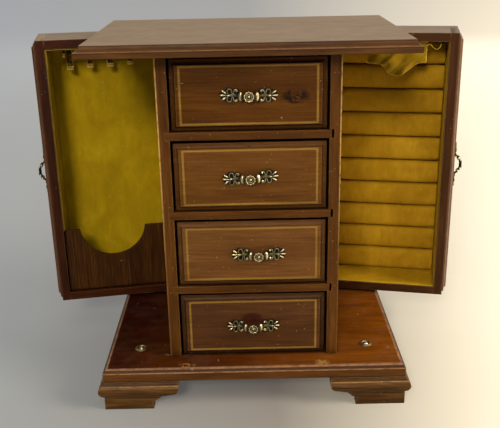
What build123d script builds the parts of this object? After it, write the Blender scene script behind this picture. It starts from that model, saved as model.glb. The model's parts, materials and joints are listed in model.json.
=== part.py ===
from build123d import *
from math import cos, pi, radians, sin, sqrt
import os

# Musical jewelry box: a four-drawer cabinet on a footed base, with two lined side trays on hinges.
# Millimetres, +Z up, the drawers face -Y. While it is built, x = 0 is the middle of the cabinet,
# y = 0 is the front edge of the base board and z = 0 is the table. The last lines move the whole
# box so that its origin lies under the middle of its outline, with both trays open as modelled.

# Base, feet and top
BASE_WIDTH = 280
BASE_DEPTH = 195
BASE_THICKNESS = 12
FOOT_HEIGHT = 29
FOOT_LENGTH = 69.5
FOOT_BOARD = 10
FOOT_LEDGE = 2.2
FOOT_COVE = 3
FOOT_FILLET = 0.6
FOOT_SWELL = 4.5
FOOT_SWELL_DROP = 9.5
FOOT_ANKLE_DROP = 16
TOP_THICKNESS = 10.6
CUT_MARGIN = 1

# Cabinet
CABINET_WIDTH = 157
CABINET_REAR_SETBACK = 23.9
CABINET_HEIGHT = 283.7
CABINET_SETBACK = 24.1
SIDE_THICKNESS = 10
BACK_THICKNESS = 4
DIVIDER_THICKNESS = 7.3
DRAWER_COUNT = 4
TOP_OPENING_EXTRA = 1.7
DADO_DEPTH = 4
DADO_SLACK = 0.25
DIVIDER_SHORT_END = 2

# Drawers
DRAWER_SIDE_GAP = 2
DRAWER_FOOT_GAP = 0.6
DRAWER_TOP_GAP = 3.4
DRAWER_RUN_GAP = 0.15
DRAWER_RECESS = 0.8
DRAWER_FRONT_THICKNESS = 8
DRAWER_FIELD_INSET = 4.6
DRAWER_WALL = 5
DRAWER_BOTTOM = 3
DRAWER_BOTTOM_RISE = 3
DRAWER_BOX_HEIGHT = 50
DRAWER_REAR_GAP = 5.2
DRAWER_MOVEMENT_GAP = 8.5
INLAY_INSET_X = 7.5
INLAY_INSET_Z = 5.25
INLAY_WIDTH = 1.6
INLAY_DEPTH = 0.8
LOOSE_PULL_SHIFT = 6
LINING = 0.9
LINING_RIM_INSET = 0.4

# Side trays
TRAY_LENGTH = 129
TRAY_DEPTH = 58
TRAY_WALL = 8.5
TRAY_PANEL = 4
TRAY_RABBET = 4.5
TRAY_FLOOR_GAP = 2.2
TRAY_TOP_GAP = 2.5
TRAY_CORNER = 1
LEFT_OPENING = 80.5
RIGHT_OPENING = 78
FRONT_PANEL_MARGIN = 3
FRONT_PANEL_THICKNESS = 4

# Hinges
HINGE_GAP = 0.75
HINGE_INSET = 5.1
HINGE_HEIGHT = 26
HINGE_END_DISTANCE = 42
LEAF_WIDTH = 7.5
LEAF_THICKNESS = 0.8
KNUCKLE_RADIUS = 1.9
HINGE_PIN_RADIUS = 0.9
PIN_CLEARANCE = 0.05
KNUCKLE_CLEARANCE = 0.25
KNUCKLE_END_GAP = 0.12

# Ball catches
CUP_RADIUS = 5
CUP_FLANGE_RADIUS = 5.6
CUP_FLANGE = 0.9
CUP_DEPTH = 6
CUP_LIP = 0.4
BALL_RADIUS = 3
BALL_RUNNING_GAP = 0.05
BALL_LIP_GAP = 0.1
BALL_TO_TRAY_GAP = 0.3
BALL_TRAVEL = 1
STRIKE_RADIUS = 4
STRIKE_DIMPLE_RADIUS = 2
STRIKE_THICKNESS = 0.8

# Left tray: pocket and necklace hooks
POCKET_HEIGHT = 70.5
POCKET_THICKNESS = 3
POCKET_RECESS = 4.5
POCKET_NOTCH_RADIUS = 34.6
POCKET_NOTCH_RISE = 3.4
POCKET_NOTCH_SHIFT = 4.9
HOOK_COUNT = 4
HOOK_PITCH = 20.5
HOOK_FIRST = 30
HOOK_WIDTH = 6.6
HOOK_STOCK = 1
HOOK_DROP = 24
HOOK_FRONT_DEPTH = 38
HOOK_CURL_RADIUS = 2.6
HOOK_LIP = 2.4
HOOK_FOOT = 9
BENT_HOOK_PLACE = 23.5
BENT_HOOK_DROP = 11
BENT_HOOK_DEPTH = 27

# Right tray: ring rolls and the loose lining
ROLL_COUNT = 10
ROLL_CEILING_GAP = 2.8
ROLL_GAP = 1.1
ROLL_THICKNESS = 14
ROLL_CROWN = 1.6
ROLL_CORNER = 4.5
ROLL_END_GAP = 1.2
ROLL_SEAT_GAP = 0.3
ROLL_END_PINCH = 1.4
FLAP_THICKNESS = 1.2
FLAP_DEPTH = 9
FLAP_FOLD = 3
FLAP_OUTER_END = 97
FLAP_INNER_END = 41
FLAP_HIGH_EDGE = 22.5
FLAP_OUTER_EDGE = 19.5
FLAP_TONGUE = 34
FLAP_TONGUE_PLACE = 69
FLAP_STEP = 24.5
FLAP_BELLY = 29
FLAP_BELLY_SHIFT = 5

# Pulls
PULL_HALF_LENGTH = 24.5
PULL_LEAF_THICKNESS = 1.5
PULL_SPINE = 1.8
PETAL_LENGTH = 9.2
PETAL_WIDTH = 2.5
PETAL_SPREAD = 33
SCROLL_RADIUS = 2.3
SCROLL_STOCK = 1.15
SCROLL_HEIGHT = 3.1
SCROLL_TURN = 40
SCROLL_SWEEP = 260
SCROLL_PLACES = (12.1, 17.4)
COLLAR_PLACE = 7.4
COLLAR_RADIUS = 2.9
COLLAR_WIDTH = 3.2
ARCH_RISE = 7.8
ARCH_FOOT_RISE = 2.2
ARCH_STOCK_RADIUS = 1.3
ROSETTE_RADIUS = 3.5
ROSETTE_PETALS = 10
ROSETTE_PETAL_RADIUS = 1.05
ROSETTE_THICKNESS = 1.5
ROSETTE_RING_RADIUS = 2.3
ROSETTE_RING_WIDTH = 0.7
ROSETTE_DOT_RADIUS = 0.8
ROSETTE_RELIEF = 0.5
PULL_PIN_PLACE = 14.8
PULL_PIN_RADIUS = 1.1
PULL_PIN_LENGTH = 6
PIN_HOLE_CLEARANCE = 0.05

# Screws
SCREW_RADIUS = 1.75
SCREW_HEAD_RADIUS = 3.5
SCREW_LENGTH = 30
SCREW_END_DISTANCE = 26
SCREW_CLEARANCE = 0.05

# Musical movement
BEDPLATE_LEFT = 30
BEDPLATE_RIGHT = 30
BEDPLATE_THICKNESS = 3
MOVEMENT_TOP_GAP = 4
BEDPLATE_LOW = 13
BEDPLATE_HIGH = 61
BARREL_X = -17.5
BARREL_Z = 33
BARREL_RADIUS = 11.5
BARREL_HEIGHT = 15
ARBOR_RADIUS = 2
ARBOR_CLEARANCE = 0.05
ARBOR_ENGAGEMENT = 9
KEY_HOLE_RADIUS = 4
KEY_CLEARANCE = 3
KEY_WING_WIDTH = 18
KEY_WING_HEIGHT = 11
KEY_WING_THICKNESS = 2.2
KEY_BOSS_RADIUS = 3.2
DRUM_RISE = 12.1
DRUM_Z = 37
DRUM_RADIUS = 6.4
DRUM_START = -2
DRUM_LENGTH = 18
DRUM_PIN_RADIUS = 0.2
DRUM_PIN_HEIGHT = 0.5
DRUM_PINS = 54
DRUM_PIN_TURN = 137.5
DRUM_ARBOR_RADIUS = 1
GEAR_MODULE = 0.35
DRUM_TEETH = 40
PINION_TEETH = 10
GEAR_WIDTH = 1.8
GEAR_ADDENDUM = 0.3
GEAR_DEDENDUM = 0.45
TOOTH_ROOT_SHARE = 0.60
TOOTH_TIP_SHARE = 0.22
WORM_MODULE = 0.4
WORM_WHEEL_TEETH = 16
WORM_STARTS = 2
WORM_WHEEL_WIDTH = 0.8
WORM_PITCH_RADIUS = 1
WORM_CREST_RADIUS = 1.3
WORM_ROOT_RADIUS = 0.55
WORM_THREAD = 0.7
WORM_TURNS = 2
SMALL_ARBOR_RADIUS = 0.7
SMALL_CLEARANCE = 0.05
POST_THICKNESS = 2
POST_GAP = 1
WORM_POST_GAP = 2.3
POST_HALF_HEIGHT = 3
POST_OVERHANG = 3
FLY_RADIUS = 4.6
FLY_LENGTH = 6
FLY_THICKNESS = 0.6
FLY_GAP = 1
COCK_THICKNESS = 1.6
COCK_WIDTH = 4
COCK_GAP = 1
COMB_TEETH = 18
COMB_PITCH = 0.95
COMB_SLIT = 0.3
COMB_TOOTH_LENGTH = 9
COMB_ROOT = 5
COMB_THICKNESS = 1
COMB_GAP = 0.75
COMB_SCREW_RADIUS = 0.9
COMB_SCREW_HEAD = 1.6
COMB_SCREW_HEAD_HEIGHT = 1
COMB_SCREW_LENGTH = 6.55
COMB_SCREW_DISTANCE = 3.36
LEVER_PIVOT_X = 10
LEVER_PIVOT_Z = 55.5
LEVER_STUD_RADIUS = 1.2
LEVER_STUD_COLLAR = 0.8
LEVER_STUD_TIP = 1.5
LEVER_END_PLAY = 0.1
LEVER_THICKNESS = 1
LEVER_WIDTH = 3.4
LEVER_COCK_GAP = 0.6
LEVER_HANDLE_REACH = 10
LEVER_HANDLE_RADIUS = 1
LEVER_HANDLE_LENGTH = 8
LEVER_SWING = 12
LEVER_SLOT_GAP = 0.4

# What follows from the driving sizes
BASE_TOP = FOOT_HEIGHT + BASE_THICKNESS
CABINET_TOP = BASE_TOP + CABINET_HEIGHT
CABINET_FRONT = CABINET_SETBACK
CABINET_REAR = BASE_DEPTH - CABINET_REAR_SETBACK
BACK_FACE = CABINET_REAR - BACK_THICKNESS
SIDE_X = CABINET_WIDTH / 2
INNER_X = SIDE_X - SIDE_THICKNESS
DIVIDED_HEIGHT = CABINET_HEIGHT - TOP_OPENING_EXTRA - (DRAWER_COUNT - 1) * DIVIDER_THICKNESS
OPENING_HEIGHT = DIVIDED_HEIGHT / DRAWER_COUNT
OPENING_PITCH = OPENING_HEIGHT + DIVIDER_THICKNESS
FRONT_WIDTH = 2 * (INNER_X - DRAWER_SIDE_GAP)
FRONT_HEIGHT = OPENING_HEIGHT - DRAWER_FOOT_GAP - DRAWER_TOP_GAP
FIELD_Y = CABINET_FRONT + DRAWER_RECESS
TRAY_BOTTOM = BASE_TOP + TRAY_FLOOR_GAP
TRAY_TOP = CABINET_TOP - TRAY_TOP_GAP
TRAY_HEIGHT = TRAY_TOP - TRAY_BOTTOM
TRAY_INNER_END = TRAY_LENGTH - TRAY_WALL
TRAY_INNER_DEPTH = TRAY_DEPTH - TRAY_PANEL
TRAY_FLOOR = TRAY_BOTTOM + TRAY_WALL
TRAY_CEILING = TRAY_TOP - TRAY_WALL
ROLL_COLUMN_FOOT = TRAY_FLOOR + LINING + ROLL_SEAT_GAP
ROLL_PITCH = (TRAY_CEILING - ROLL_CEILING_GAP - ROLL_COLUMN_FOOT) / ROLL_COUNT
HINGE_X = SIDE_X + HINGE_GAP
HINGE_Y = CABINET_REAR - HINGE_INSET
CATCH_X = HINGE_X + TRAY_DEPTH / 2
STRIKE_REACH = TRAY_LENGTH - TRAY_WALL / 2
CATCH_Y = HINGE_Y - STRIKE_REACH
BALL_Z = TRAY_BOTTOM - BALL_TO_TRAY_GAP - BALL_RADIUS
HINGE_HEIGHTS = (TRAY_BOTTOM + HINGE_END_DISTANCE, TRAY_TOP - HINGE_END_DISTANCE)
PULL_Z = TRAY_BOTTOM + TRAY_HEIGHT / 2
PLATE_FACE = BACK_FACE - BEDPLATE_THICKNESS
MOVEMENT_FLOOR = BASE_TOP + OPENING_HEIGHT - MOVEMENT_TOP_GAP - BEDPLATE_HIGH
DRUM_Y = PLATE_FACE - DRUM_RISE
DRUM_HEIGHT = MOVEMENT_FLOOR + DRUM_Z
GOVERNOR_HEIGHT = DRUM_HEIGHT + GEAR_MODULE * (DRUM_TEETH + PINION_TEETH) / 2
DRUM_END = DRUM_START + DRUM_LENGTH
GEAR_END = DRUM_END + GEAR_WIDTH
LEFT_POST = DRUM_START - POST_GAP - POST_THICKNESS
MIDDLE_POST = GEAR_END + POST_GAP
WORM_WHEEL_START = MIDDLE_POST + POST_THICKNESS + POST_GAP
WORM_WHEEL_END = WORM_WHEEL_START + WORM_WHEEL_WIDTH
OUTER_POST = WORM_WHEEL_END + WORM_POST_GAP
WORM_WHEEL_RADIUS = WORM_MODULE * WORM_WHEEL_TEETH / 2
FLY_X = WORM_WHEEL_START + WORM_WHEEL_WIDTH / 2
FLY_Z = GOVERNOR_HEIGHT + WORM_WHEEL_RADIUS + WORM_PITCH_RADIUS
WORM_LEAD = WORM_STARTS * pi * WORM_MODULE
WORM_LENGTH = WORM_TURNS * WORM_LEAD
POST_FRONT = DRUM_Y - POST_OVERHANG
FLY_REAR = POST_FRONT - FLY_GAP
COCK_REAR = FLY_REAR - FLY_LENGTH - COCK_GAP
COCK_FRONT = COCK_REAR - COCK_THICKNESS
COCK_FOOT = FLY_Z + FLY_RADIUS + COCK_GAP
COCK_TOP = COCK_FOOT + COCK_WIDTH
FLY_STAFF_LENGTH = PLATE_FACE + BEDPLATE_THICKNESS / 2 - COCK_FRONT
COMB_TIP = DRUM_HEIGHT - DRUM_RADIUS - COMB_GAP
COMB_FOOT = COMB_TIP - COMB_TOOTH_LENGTH - COMB_ROOT
COMB_WIDTH = COMB_TEETH * COMB_PITCH - COMB_SLIT
COMB_START = DRUM_START + (DRUM_LENGTH - COMB_WIDTH) / 2
COMB_END = COMB_START + COMB_WIDTH
COMB_FRONT = DRUM_Y - COMB_THICKNESS / 2
COMB_REAR = COMB_FRONT + COMB_THICKNESS
COMB_SCREWS = (COMB_START + COMB_SCREW_DISTANCE, COMB_END - COMB_SCREW_DISTANCE)
COMB_SCREW_Z = COMB_FOOT + COMB_ROOT / 2
KEY_Z = MOVEMENT_FLOOR + BARREL_Z
LEVER_Y = FLY_REAR - FLY_LENGTH / 2
LEVER_Z = MOVEMENT_FLOOR + LEVER_PIVOT_Z
LEVER_TIP_REACH = FLY_X - COCK_WIDTH / 2 - LEVER_COCK_GAP - LEVER_PIVOT_X
HANDLE_X = LEVER_PIVOT_X - LEVER_HANDLE_REACH
SLOT_HALF_WIDTH = LEVER_HANDLE_RADIUS + LEVER_SLOT_GAP
SLOT_TOP = LEVER_Z + LEVER_HANDLE_REACH * sin(radians(LEVER_SWING)) + SLOT_HALF_WIDTH
FORWARD = (0, -1, 0)

# Edge mouldings, from the top's inner line round to the underside: inset, height and bulge,
# where a bulge above 0 is a round, below 0 a cove, and 0 a straight line.
BASE_MOULDING = (
    (4.5, BASE_THICKNESS, 0),
    (4.5, BASE_THICKNESS - 0.6, 0),
    (0, BASE_THICKNESS - 3.6, 0.7),
    (0, 1, 0),
    (1, 0, 0.3),
)
TOP_MOULDING = (
    (5, TOP_THICKNESS, 0),
    (5, TOP_THICKNESS - 0.6, 0),
    (1, TOP_THICKNESS - 5, -0.9),
    (0, TOP_THICKNESS - 5.6, 0.2),
    (0, 0.9, 0),
    (0.9, 0, 0.25),
)
DRAWER_MOULDING = (
    (DRAWER_FIELD_INSET, DRAWER_FRONT_THICKNESS, 0),
    (DRAWER_FIELD_INSET, DRAWER_FRONT_THICKNESS - 0.9, 0),
    (0.9, DRAWER_FRONT_THICKNESS - 3.2, -0.7),
    (0, DRAWER_FRONT_THICKNESS - 3.4, 0),
    (0, 0, 0),
)
PANEL_MOULDING = (
    (4, FRONT_PANEL_THICKNESS, 0),
    (4, FRONT_PANEL_THICKNESS - 0.5, 0),
    (0.6, FRONT_PANEL_THICKNESS - 2.2, -0.5),
    (0, FRONT_PANEL_THICKNESS - 2.4, 0),
    (0, 0, 0),
)
FOOT_MOULDING = (
    (0, FOOT_HEIGHT, 0),
    (-FOOT_LEDGE, FOOT_HEIGHT - FOOT_COVE, -0.5),
    (-FOOT_LEDGE, FOOT_HEIGHT - FOOT_COVE - FOOT_FILLET, 0),
    (-FOOT_SWELL, FOOT_HEIGHT - FOOT_SWELL_DROP, 1),
    (0, FOOT_HEIGHT - FOOT_ANKLE_DROP, 0.8),
    (0, 0, 0),
)

# A bracket foot's cut edge, from its shoulder down to its toe: steps from the foot's full length
# and from the underside of the base board. The second and fourth points are passed on arcs.
BRACKET_SHOULDER = (0, -7)
BRACKET_COVE = (-1.9, -11)
BRACKET_LEDGE = (-5.5, -12.6)
BRACKET_BELLY = (-13.5, -14.8)
BRACKET_CUSP = (-20.5, -20.4)
BRACKET_TOE = (-25.1, -21)
BRACKET_TOE_SPLAY = 1.6

# How far the middle of a quarter round lies from each of its corner's sides, per radius
ROUND_SHARE = 1 - 1 / sqrt(2)

pieces = {}
trays = {}


def keep(name, *solids):
    """File one node: a single solid, or several separate solids that share it."""
    pieces[name] = solids[0] if len(solids) == 1 else Compound(list(solids))


def box(low, high, mode=Mode.ADD):
    """A box between two opposite corners, in the part and on the plane in use."""
    corner = [min(a, b) for a, b in zip(low, high)]
    size = [abs(b - a) for a, b in zip(low, high)]
    with Locations(tuple(corner)):
        Box(*size, align=(Align.MIN, Align.MIN, Align.MIN), mode=mode)


def rod(start, direction, radius, length, mode=Mode.ADD):
    """A round bar from a start point along a direction, in the part's own axes."""
    with BuildSketch(Plane(origin=start, z_dir=direction)) as end:
        Circle(radius)
    extrude(end.sketch, amount=length, mode=mode)


def board(low, high, plane=Plane.XY):
    """A plain rectangular board."""
    with BuildPart(plane) as piece:
        box(low, high)
    return piece.part


def half_round(start, end, bulge):
    """The middle point of an arc that bulges to the left of its run."""
    run_x, run_z = end[0] - start[0], end[1] - start[1]
    run = sqrt(run_x ** 2 + run_z ** 2)
    return (
        (start[0] + end[0]) / 2 - bulge * run_z / run,
        (start[1] + end[1]) / 2 + bulge * run_x / run,
    )


def moulded_section(half_span, thickness, moulding):
    """The cross-section of a board whose two edges carry a moulding."""
    with BuildSketch() as section:
        with BuildLine():
            start = (0, thickness)
            for inset, height, bulge in moulding:
                end = (half_span - inset, height)
                if bulge:
                    ThreePointArc(start, half_round(start, end, bulge), end)
                else:
                    Line(start, end)
                start = end
            Line(start, (0, 0))
            mirror(about=Plane.YZ)
        make_face()
    return section.sketch


def moulded_board(frame, width, height, thickness, moulding):
    """A board in the frame's x and y with mitred mouldings round all four edges."""
    across = moulded_section(width / 2, thickness, moulding)
    along = moulded_section(height / 2, thickness, moulding)
    with BuildPart() as piece:
        with BuildSketch(Plane(frame.origin, x_dir=frame.x_dir, z_dir=-frame.y_dir)):
            add(across)
        extrude(amount=height, both=True)
        with BuildSketch(Plane(frame.origin, x_dir=frame.y_dir, z_dir=frame.x_dir)) as second:
            add(along)
        extrude(second.sketch, amount=width, both=True, mode=Mode.INTERSECT)
    return piece.part


def countersunk_screw(origin, direction, clearance=0.0):
    """A wood screw with its flat head at the origin, or the hole for one."""
    frame = Plane(origin=origin, z_dir=direction)
    shank = SCREW_RADIUS + clearance
    with BuildPart() as screw:
        with BuildSketch(frame):
            Circle(SCREW_HEAD_RADIUS)
        with BuildSketch(frame.offset(SCREW_HEAD_RADIUS - shank)):
            Circle(shank)
        loft()
        with BuildSketch(frame):
            Circle(shank)
        extrude(amount=SCREW_LENGTH + clearance)
    return screw.part


def toothed_disc(frame, teeth, module, addendum, dedendum, width, bore):
    """A small gear with straight-sided teeth, one of them along the frame's x."""
    pitch_radius = module * teeth / 2
    root = (pitch_radius - dedendum - module / 2, TOOTH_ROOT_SHARE * pi * module / 2)
    tip = (pitch_radius + addendum, TOOTH_TIP_SHARE * pi * module / 2)
    with BuildPart() as gear:
        with BuildSketch(frame):
            Circle(pitch_radius - dedendum)
            with PolarLocations(0, teeth):
                with BuildLine():
                    Polyline((root[0], -root[1]), (tip[0], -tip[1]), tip, root, close=True)
                make_face()
            Circle(bore, mode=Mode.SUBTRACT)
        extrude(amount=width)
    return gear.part


# Base board, with pockets for the catches and countersunk holes for the cabinet's screws
SCREW_PLACES = [
    (side * (SIDE_X - SIDE_THICKNESS / 2), y)
    for side in (-1, 1)
    for y in (CABINET_FRONT + SCREW_END_DISTANCE, CABINET_REAR - SCREW_END_DISTANCE)
]
base_frame = Plane(origin=(0, BASE_DEPTH / 2, FOOT_HEIGHT))
base_blank = moulded_board(base_frame, BASE_WIDTH, BASE_DEPTH, BASE_THICKNESS, BASE_MOULDING)
with BuildPart() as base_board:
    add(base_blank)
    for side in (-1, 1):
        rod((side * CATCH_X, CATCH_Y, BASE_TOP), (0, 0, -1), CUP_RADIUS + PIN_HOLE_CLEARANCE,
            CUP_DEPTH, Mode.SUBTRACT)
    for x, y in SCREW_PLACES:
        add(countersunk_screw((x, y, FOOT_HEIGHT), (0, 0, 1), SCREW_CLEARANCE), mode=Mode.SUBTRACT)
keep("base_board", base_board.part)

# Top board
top_frame = Plane(origin=(0, BASE_DEPTH / 2, CABINET_TOP))
keep("top_board", moulded_board(top_frame, BASE_WIDTH, BASE_DEPTH, TOP_THICKNESS, TOP_MOULDING))


def bracket_outline(half_span):
    """The space between two bracket feet, seen square on."""
    steps = (BRACKET_SHOULDER, BRACKET_COVE, BRACKET_LEDGE, BRACKET_BELLY, BRACKET_CUSP, BRACKET_TOE)
    shoulder, cove, ledge, belly, cusp, toe = [
        (half_span - FOOT_LENGTH - step, FOOT_HEIGHT + drop) for step, drop in steps
    ]
    top = FOOT_HEIGHT + CUT_MARGIN
    with BuildSketch() as outline:
        with BuildLine():
            Polyline((0, top), (shoulder[0], top), shoulder)
            ThreePointArc(shoulder, cove, ledge)
            ThreePointArc(ledge, belly, cusp)
            Polyline(cusp, toe, (toe[0] - BRACKET_TOE_SPLAY, -CUT_MARGIN), (0, -CUT_MARGIN))
            mirror(about=Plane.YZ)
        make_face()
    return outline.sketch


# Four bracket feet, cut from one moulded plinth
plinth_frame = Plane(origin=(0, BASE_DEPTH / 2, 0))
plinth = moulded_board(plinth_frame, BASE_WIDTH, BASE_DEPTH, FOOT_HEIGHT, FOOT_MOULDING)
front_gap = bracket_outline(BASE_WIDTH / 2)
side_gap = bracket_outline(BASE_DEPTH / 2)
with BuildPart() as feet:
    add(plinth)
    box((-BASE_WIDTH / 2 + FOOT_BOARD, FOOT_BOARD, -CUT_MARGIN),
        (BASE_WIDTH / 2 - FOOT_BOARD, BASE_DEPTH - FOOT_BOARD, FOOT_HEIGHT + CUT_MARGIN), Mode.SUBTRACT)
    with BuildSketch(Plane.XZ.offset(-BASE_DEPTH / 2)) as front_cut:
        add(front_gap)
    extrude(front_cut.sketch, amount=BASE_DEPTH, both=True, mode=Mode.SUBTRACT)
    side_plane = Plane(origin=(0, BASE_DEPTH / 2, 0), x_dir=(0, 1, 0), z_dir=(1, 0, 0))
    with BuildSketch(side_plane) as side_cut:
        add(side_gap)
    extrude(side_cut.sketch, amount=BASE_WIDTH, both=True, mode=Mode.SUBTRACT)
for foot in feet.part.solids():
    middle = foot.center()
    end = "front" if middle.Y < BASE_DEPTH / 2 else "rear"
    hand = "left" if middle.X < 0 else "right"
    keep(f"foot_{end}_{hand}", foot)


def opening_floor(number):
    """The height of a drawer's opening, numbered 1 at the top."""
    return BASE_TOP + (DRAWER_COUNT - number) * OPENING_PITCH


# Cabinet sides, with dadoes for the dividers, a rabbet for the back and mortises for the hinges
for side, hand in ((-1, "left"), (1, "right")):
    with BuildPart() as cabinet_side:
        box((side * INNER_X, CABINET_FRONT, BASE_TOP), (side * SIDE_X, CABINET_REAR, CABINET_TOP))
        for number in range(1, DRAWER_COUNT):
            top = opening_floor(number)
            box((side * INNER_X, CABINET_FRONT, top - DIVIDER_THICKNESS),
                (side * (INNER_X + DADO_DEPTH), BACK_FACE, top + DADO_SLACK), Mode.SUBTRACT)
        box((side * INNER_X, BACK_FACE, BASE_TOP),
            (side * (INNER_X + DADO_DEPTH), CABINET_REAR, CABINET_TOP), Mode.SUBTRACT)
        for height in HINGE_HEIGHTS:
            low, high = height - HINGE_HEIGHT / 2, height + HINGE_HEIGHT / 2
            box((side * SIDE_X, HINGE_Y - LEAF_WIDTH, low),
                (side * (SIDE_X - LEAF_THICKNESS), HINGE_Y, high), Mode.SUBTRACT)
            rod((side * HINGE_X, HINGE_Y, low), (0, 0, 1), KNUCKLE_RADIUS + KNUCKLE_CLEARANCE,
                HINGE_HEIGHT, Mode.SUBTRACT)
        for x, y in SCREW_PLACES:
            if x * side > 0:
                rod((x, y, BASE_TOP), (0, 0, 1), SCREW_RADIUS + SCREW_CLEARANCE,
                    SCREW_LENGTH - BASE_THICKNESS + SCREW_CLEARANCE, Mode.SUBTRACT)
    keep(f"cabinet_side_{hand}", cabinet_side.part)

# Dividers between the drawers: their right ends stop short in the dadoes
keep("drawer_dividers", *[
    board((-INNER_X - DADO_DEPTH, CABINET_FRONT, opening_floor(number) - DIVIDER_THICKNESS),
          (INNER_X + DADO_DEPTH - DIVIDER_SHORT_END, BACK_FACE, opening_floor(number)))
    for number in range(1, DRAWER_COUNT)
])


def lever_slot(rear, depth):
    """Cut the slot that the stop lever's handle swings in."""
    box((HANDLE_X - SLOT_HALF_WIDTH, rear - depth, LEVER_Z - SLOT_HALF_WIDTH),
        (HANDLE_X + SLOT_HALF_WIDTH, rear, SLOT_TOP), Mode.SUBTRACT)


# Cabinet back, with the key's hole and the stop lever's slot
with BuildPart() as cabinet_back:
    box((-INNER_X - DADO_DEPTH, BACK_FACE, BASE_TOP), (INNER_X + DADO_DEPTH, CABINET_REAR, CABINET_TOP))
    rod((BARREL_X, CABINET_REAR, KEY_Z), (0, -1, 0), KEY_HOLE_RADIUS, BACK_THICKNESS, Mode.SUBTRACT)
    lever_slot(CABINET_REAR, BACK_THICKNESS)
keep("cabinet_back", cabinet_back.part)


def c_scroll(place, height, start, sweep):
    """One open scroll of a leaf, as a bent bar with round ends."""
    SlotArc(CenterArc((place, height), SCROLL_RADIUS, start, sweep, mode=Mode.PRIVATE), SCROLL_STOCK)


# The pull: a one-piece casting with two palmette leaves, beaded collars, an arch and a rosette.
# It is made once, lying along x with its back on y = 0, and copied to each place.
with BuildPart() as pull:
    with BuildSketch(Plane.XZ):
        for side in (-1, 1):
            with Locations((side * (COLLAR_PLACE + PULL_HALF_LENGTH - PETAL_LENGTH / 2) / 2, 0)):
                Rectangle(PULL_HALF_LENGTH - PETAL_LENGTH / 2 - COLLAR_PLACE, PULL_SPINE)
            root = PULL_HALF_LENGTH - PETAL_LENGTH
            for turn in (-PETAL_SPREAD, 0, PETAL_SPREAD):
                reach = root + PETAL_LENGTH / 2 * cos(radians(turn))
                rise = PETAL_LENGTH / 2 * sin(radians(turn))
                with Locations(Location((side * reach, rise, 0), (0, 0, side * turn))):
                    Ellipse(PETAL_LENGTH / 2, PETAL_WIDTH / 2)
            for up in (-1, 1):
                for place in SCROLL_PLACES:
                    opening = 90 - 90 * side * up if up > 0 else 90 + 90 * side
                    c_scroll(side * place, up * SCROLL_HEIGHT, opening - SCROLL_TURN,
                             -up * side * SCROLL_SWEEP)
    extrude(amount=PULL_LEAF_THICKNESS)
    for side in (-1, 1):
        rod((side * (COLLAR_PLACE - COLLAR_WIDTH / 2), -ARCH_FOOT_RISE, 0), (side, 0, 0),
            COLLAR_RADIUS, COLLAR_WIDTH)
        rod((side * PULL_PIN_PLACE, 0, 0), (0, 1, 0), PULL_PIN_RADIUS, PULL_PIN_LENGTH)
    box((-COLLAR_PLACE - COLLAR_WIDTH, 0, -COLLAR_RADIUS),
        (COLLAR_PLACE + COLLAR_WIDTH, COLLAR_RADIUS, COLLAR_RADIUS), Mode.SUBTRACT)
    with BuildLine() as arch:
        ThreePointArc((-COLLAR_PLACE, -ARCH_FOOT_RISE), (0, -ARCH_RISE), (COLLAR_PLACE, -ARCH_FOOT_RISE))
    with BuildSketch(Plane(origin=arch.line @ 0, z_dir=arch.line % 0)):
        Circle(ARCH_STOCK_RADIUS)
    sweep(path=arch.line)
    with BuildSketch(Plane.XZ.offset(ARCH_RISE)):
        Circle(ROSETTE_RADIUS)
        with PolarLocations(ROSETTE_RADIUS, ROSETTE_PETALS):
            Circle(ROSETTE_PETAL_RADIUS)
    extrude(amount=ROSETTE_THICKNESS)
    with BuildSketch(Plane.XZ.offset(ARCH_RISE + ROSETTE_THICKNESS)):
        Circle(ROSETTE_RING_RADIUS)
        Circle(ROSETTE_RING_RADIUS - ROSETTE_RING_WIDTH, mode=Mode.SUBTRACT)
        Circle(ROSETTE_DOT_RADIUS)
    extrude(amount=ROSETTE_RELIEF)


def drawer_pull_x(number):
    """The third drawer's pull was fitted off centre."""
    return LOOSE_PULL_SHIFT if number == 3 else 0


def ring(outer, inner, frame, thickness):
    """A flat rectangular frame between two rectangles, standing on a plane."""
    with BuildPart() as piece:
        with BuildSketch(frame):
            Rectangle(*outer)
            Rectangle(*inner, mode=Mode.SUBTRACT)
        extrude(amount=thickness)
    return piece.part


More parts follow.
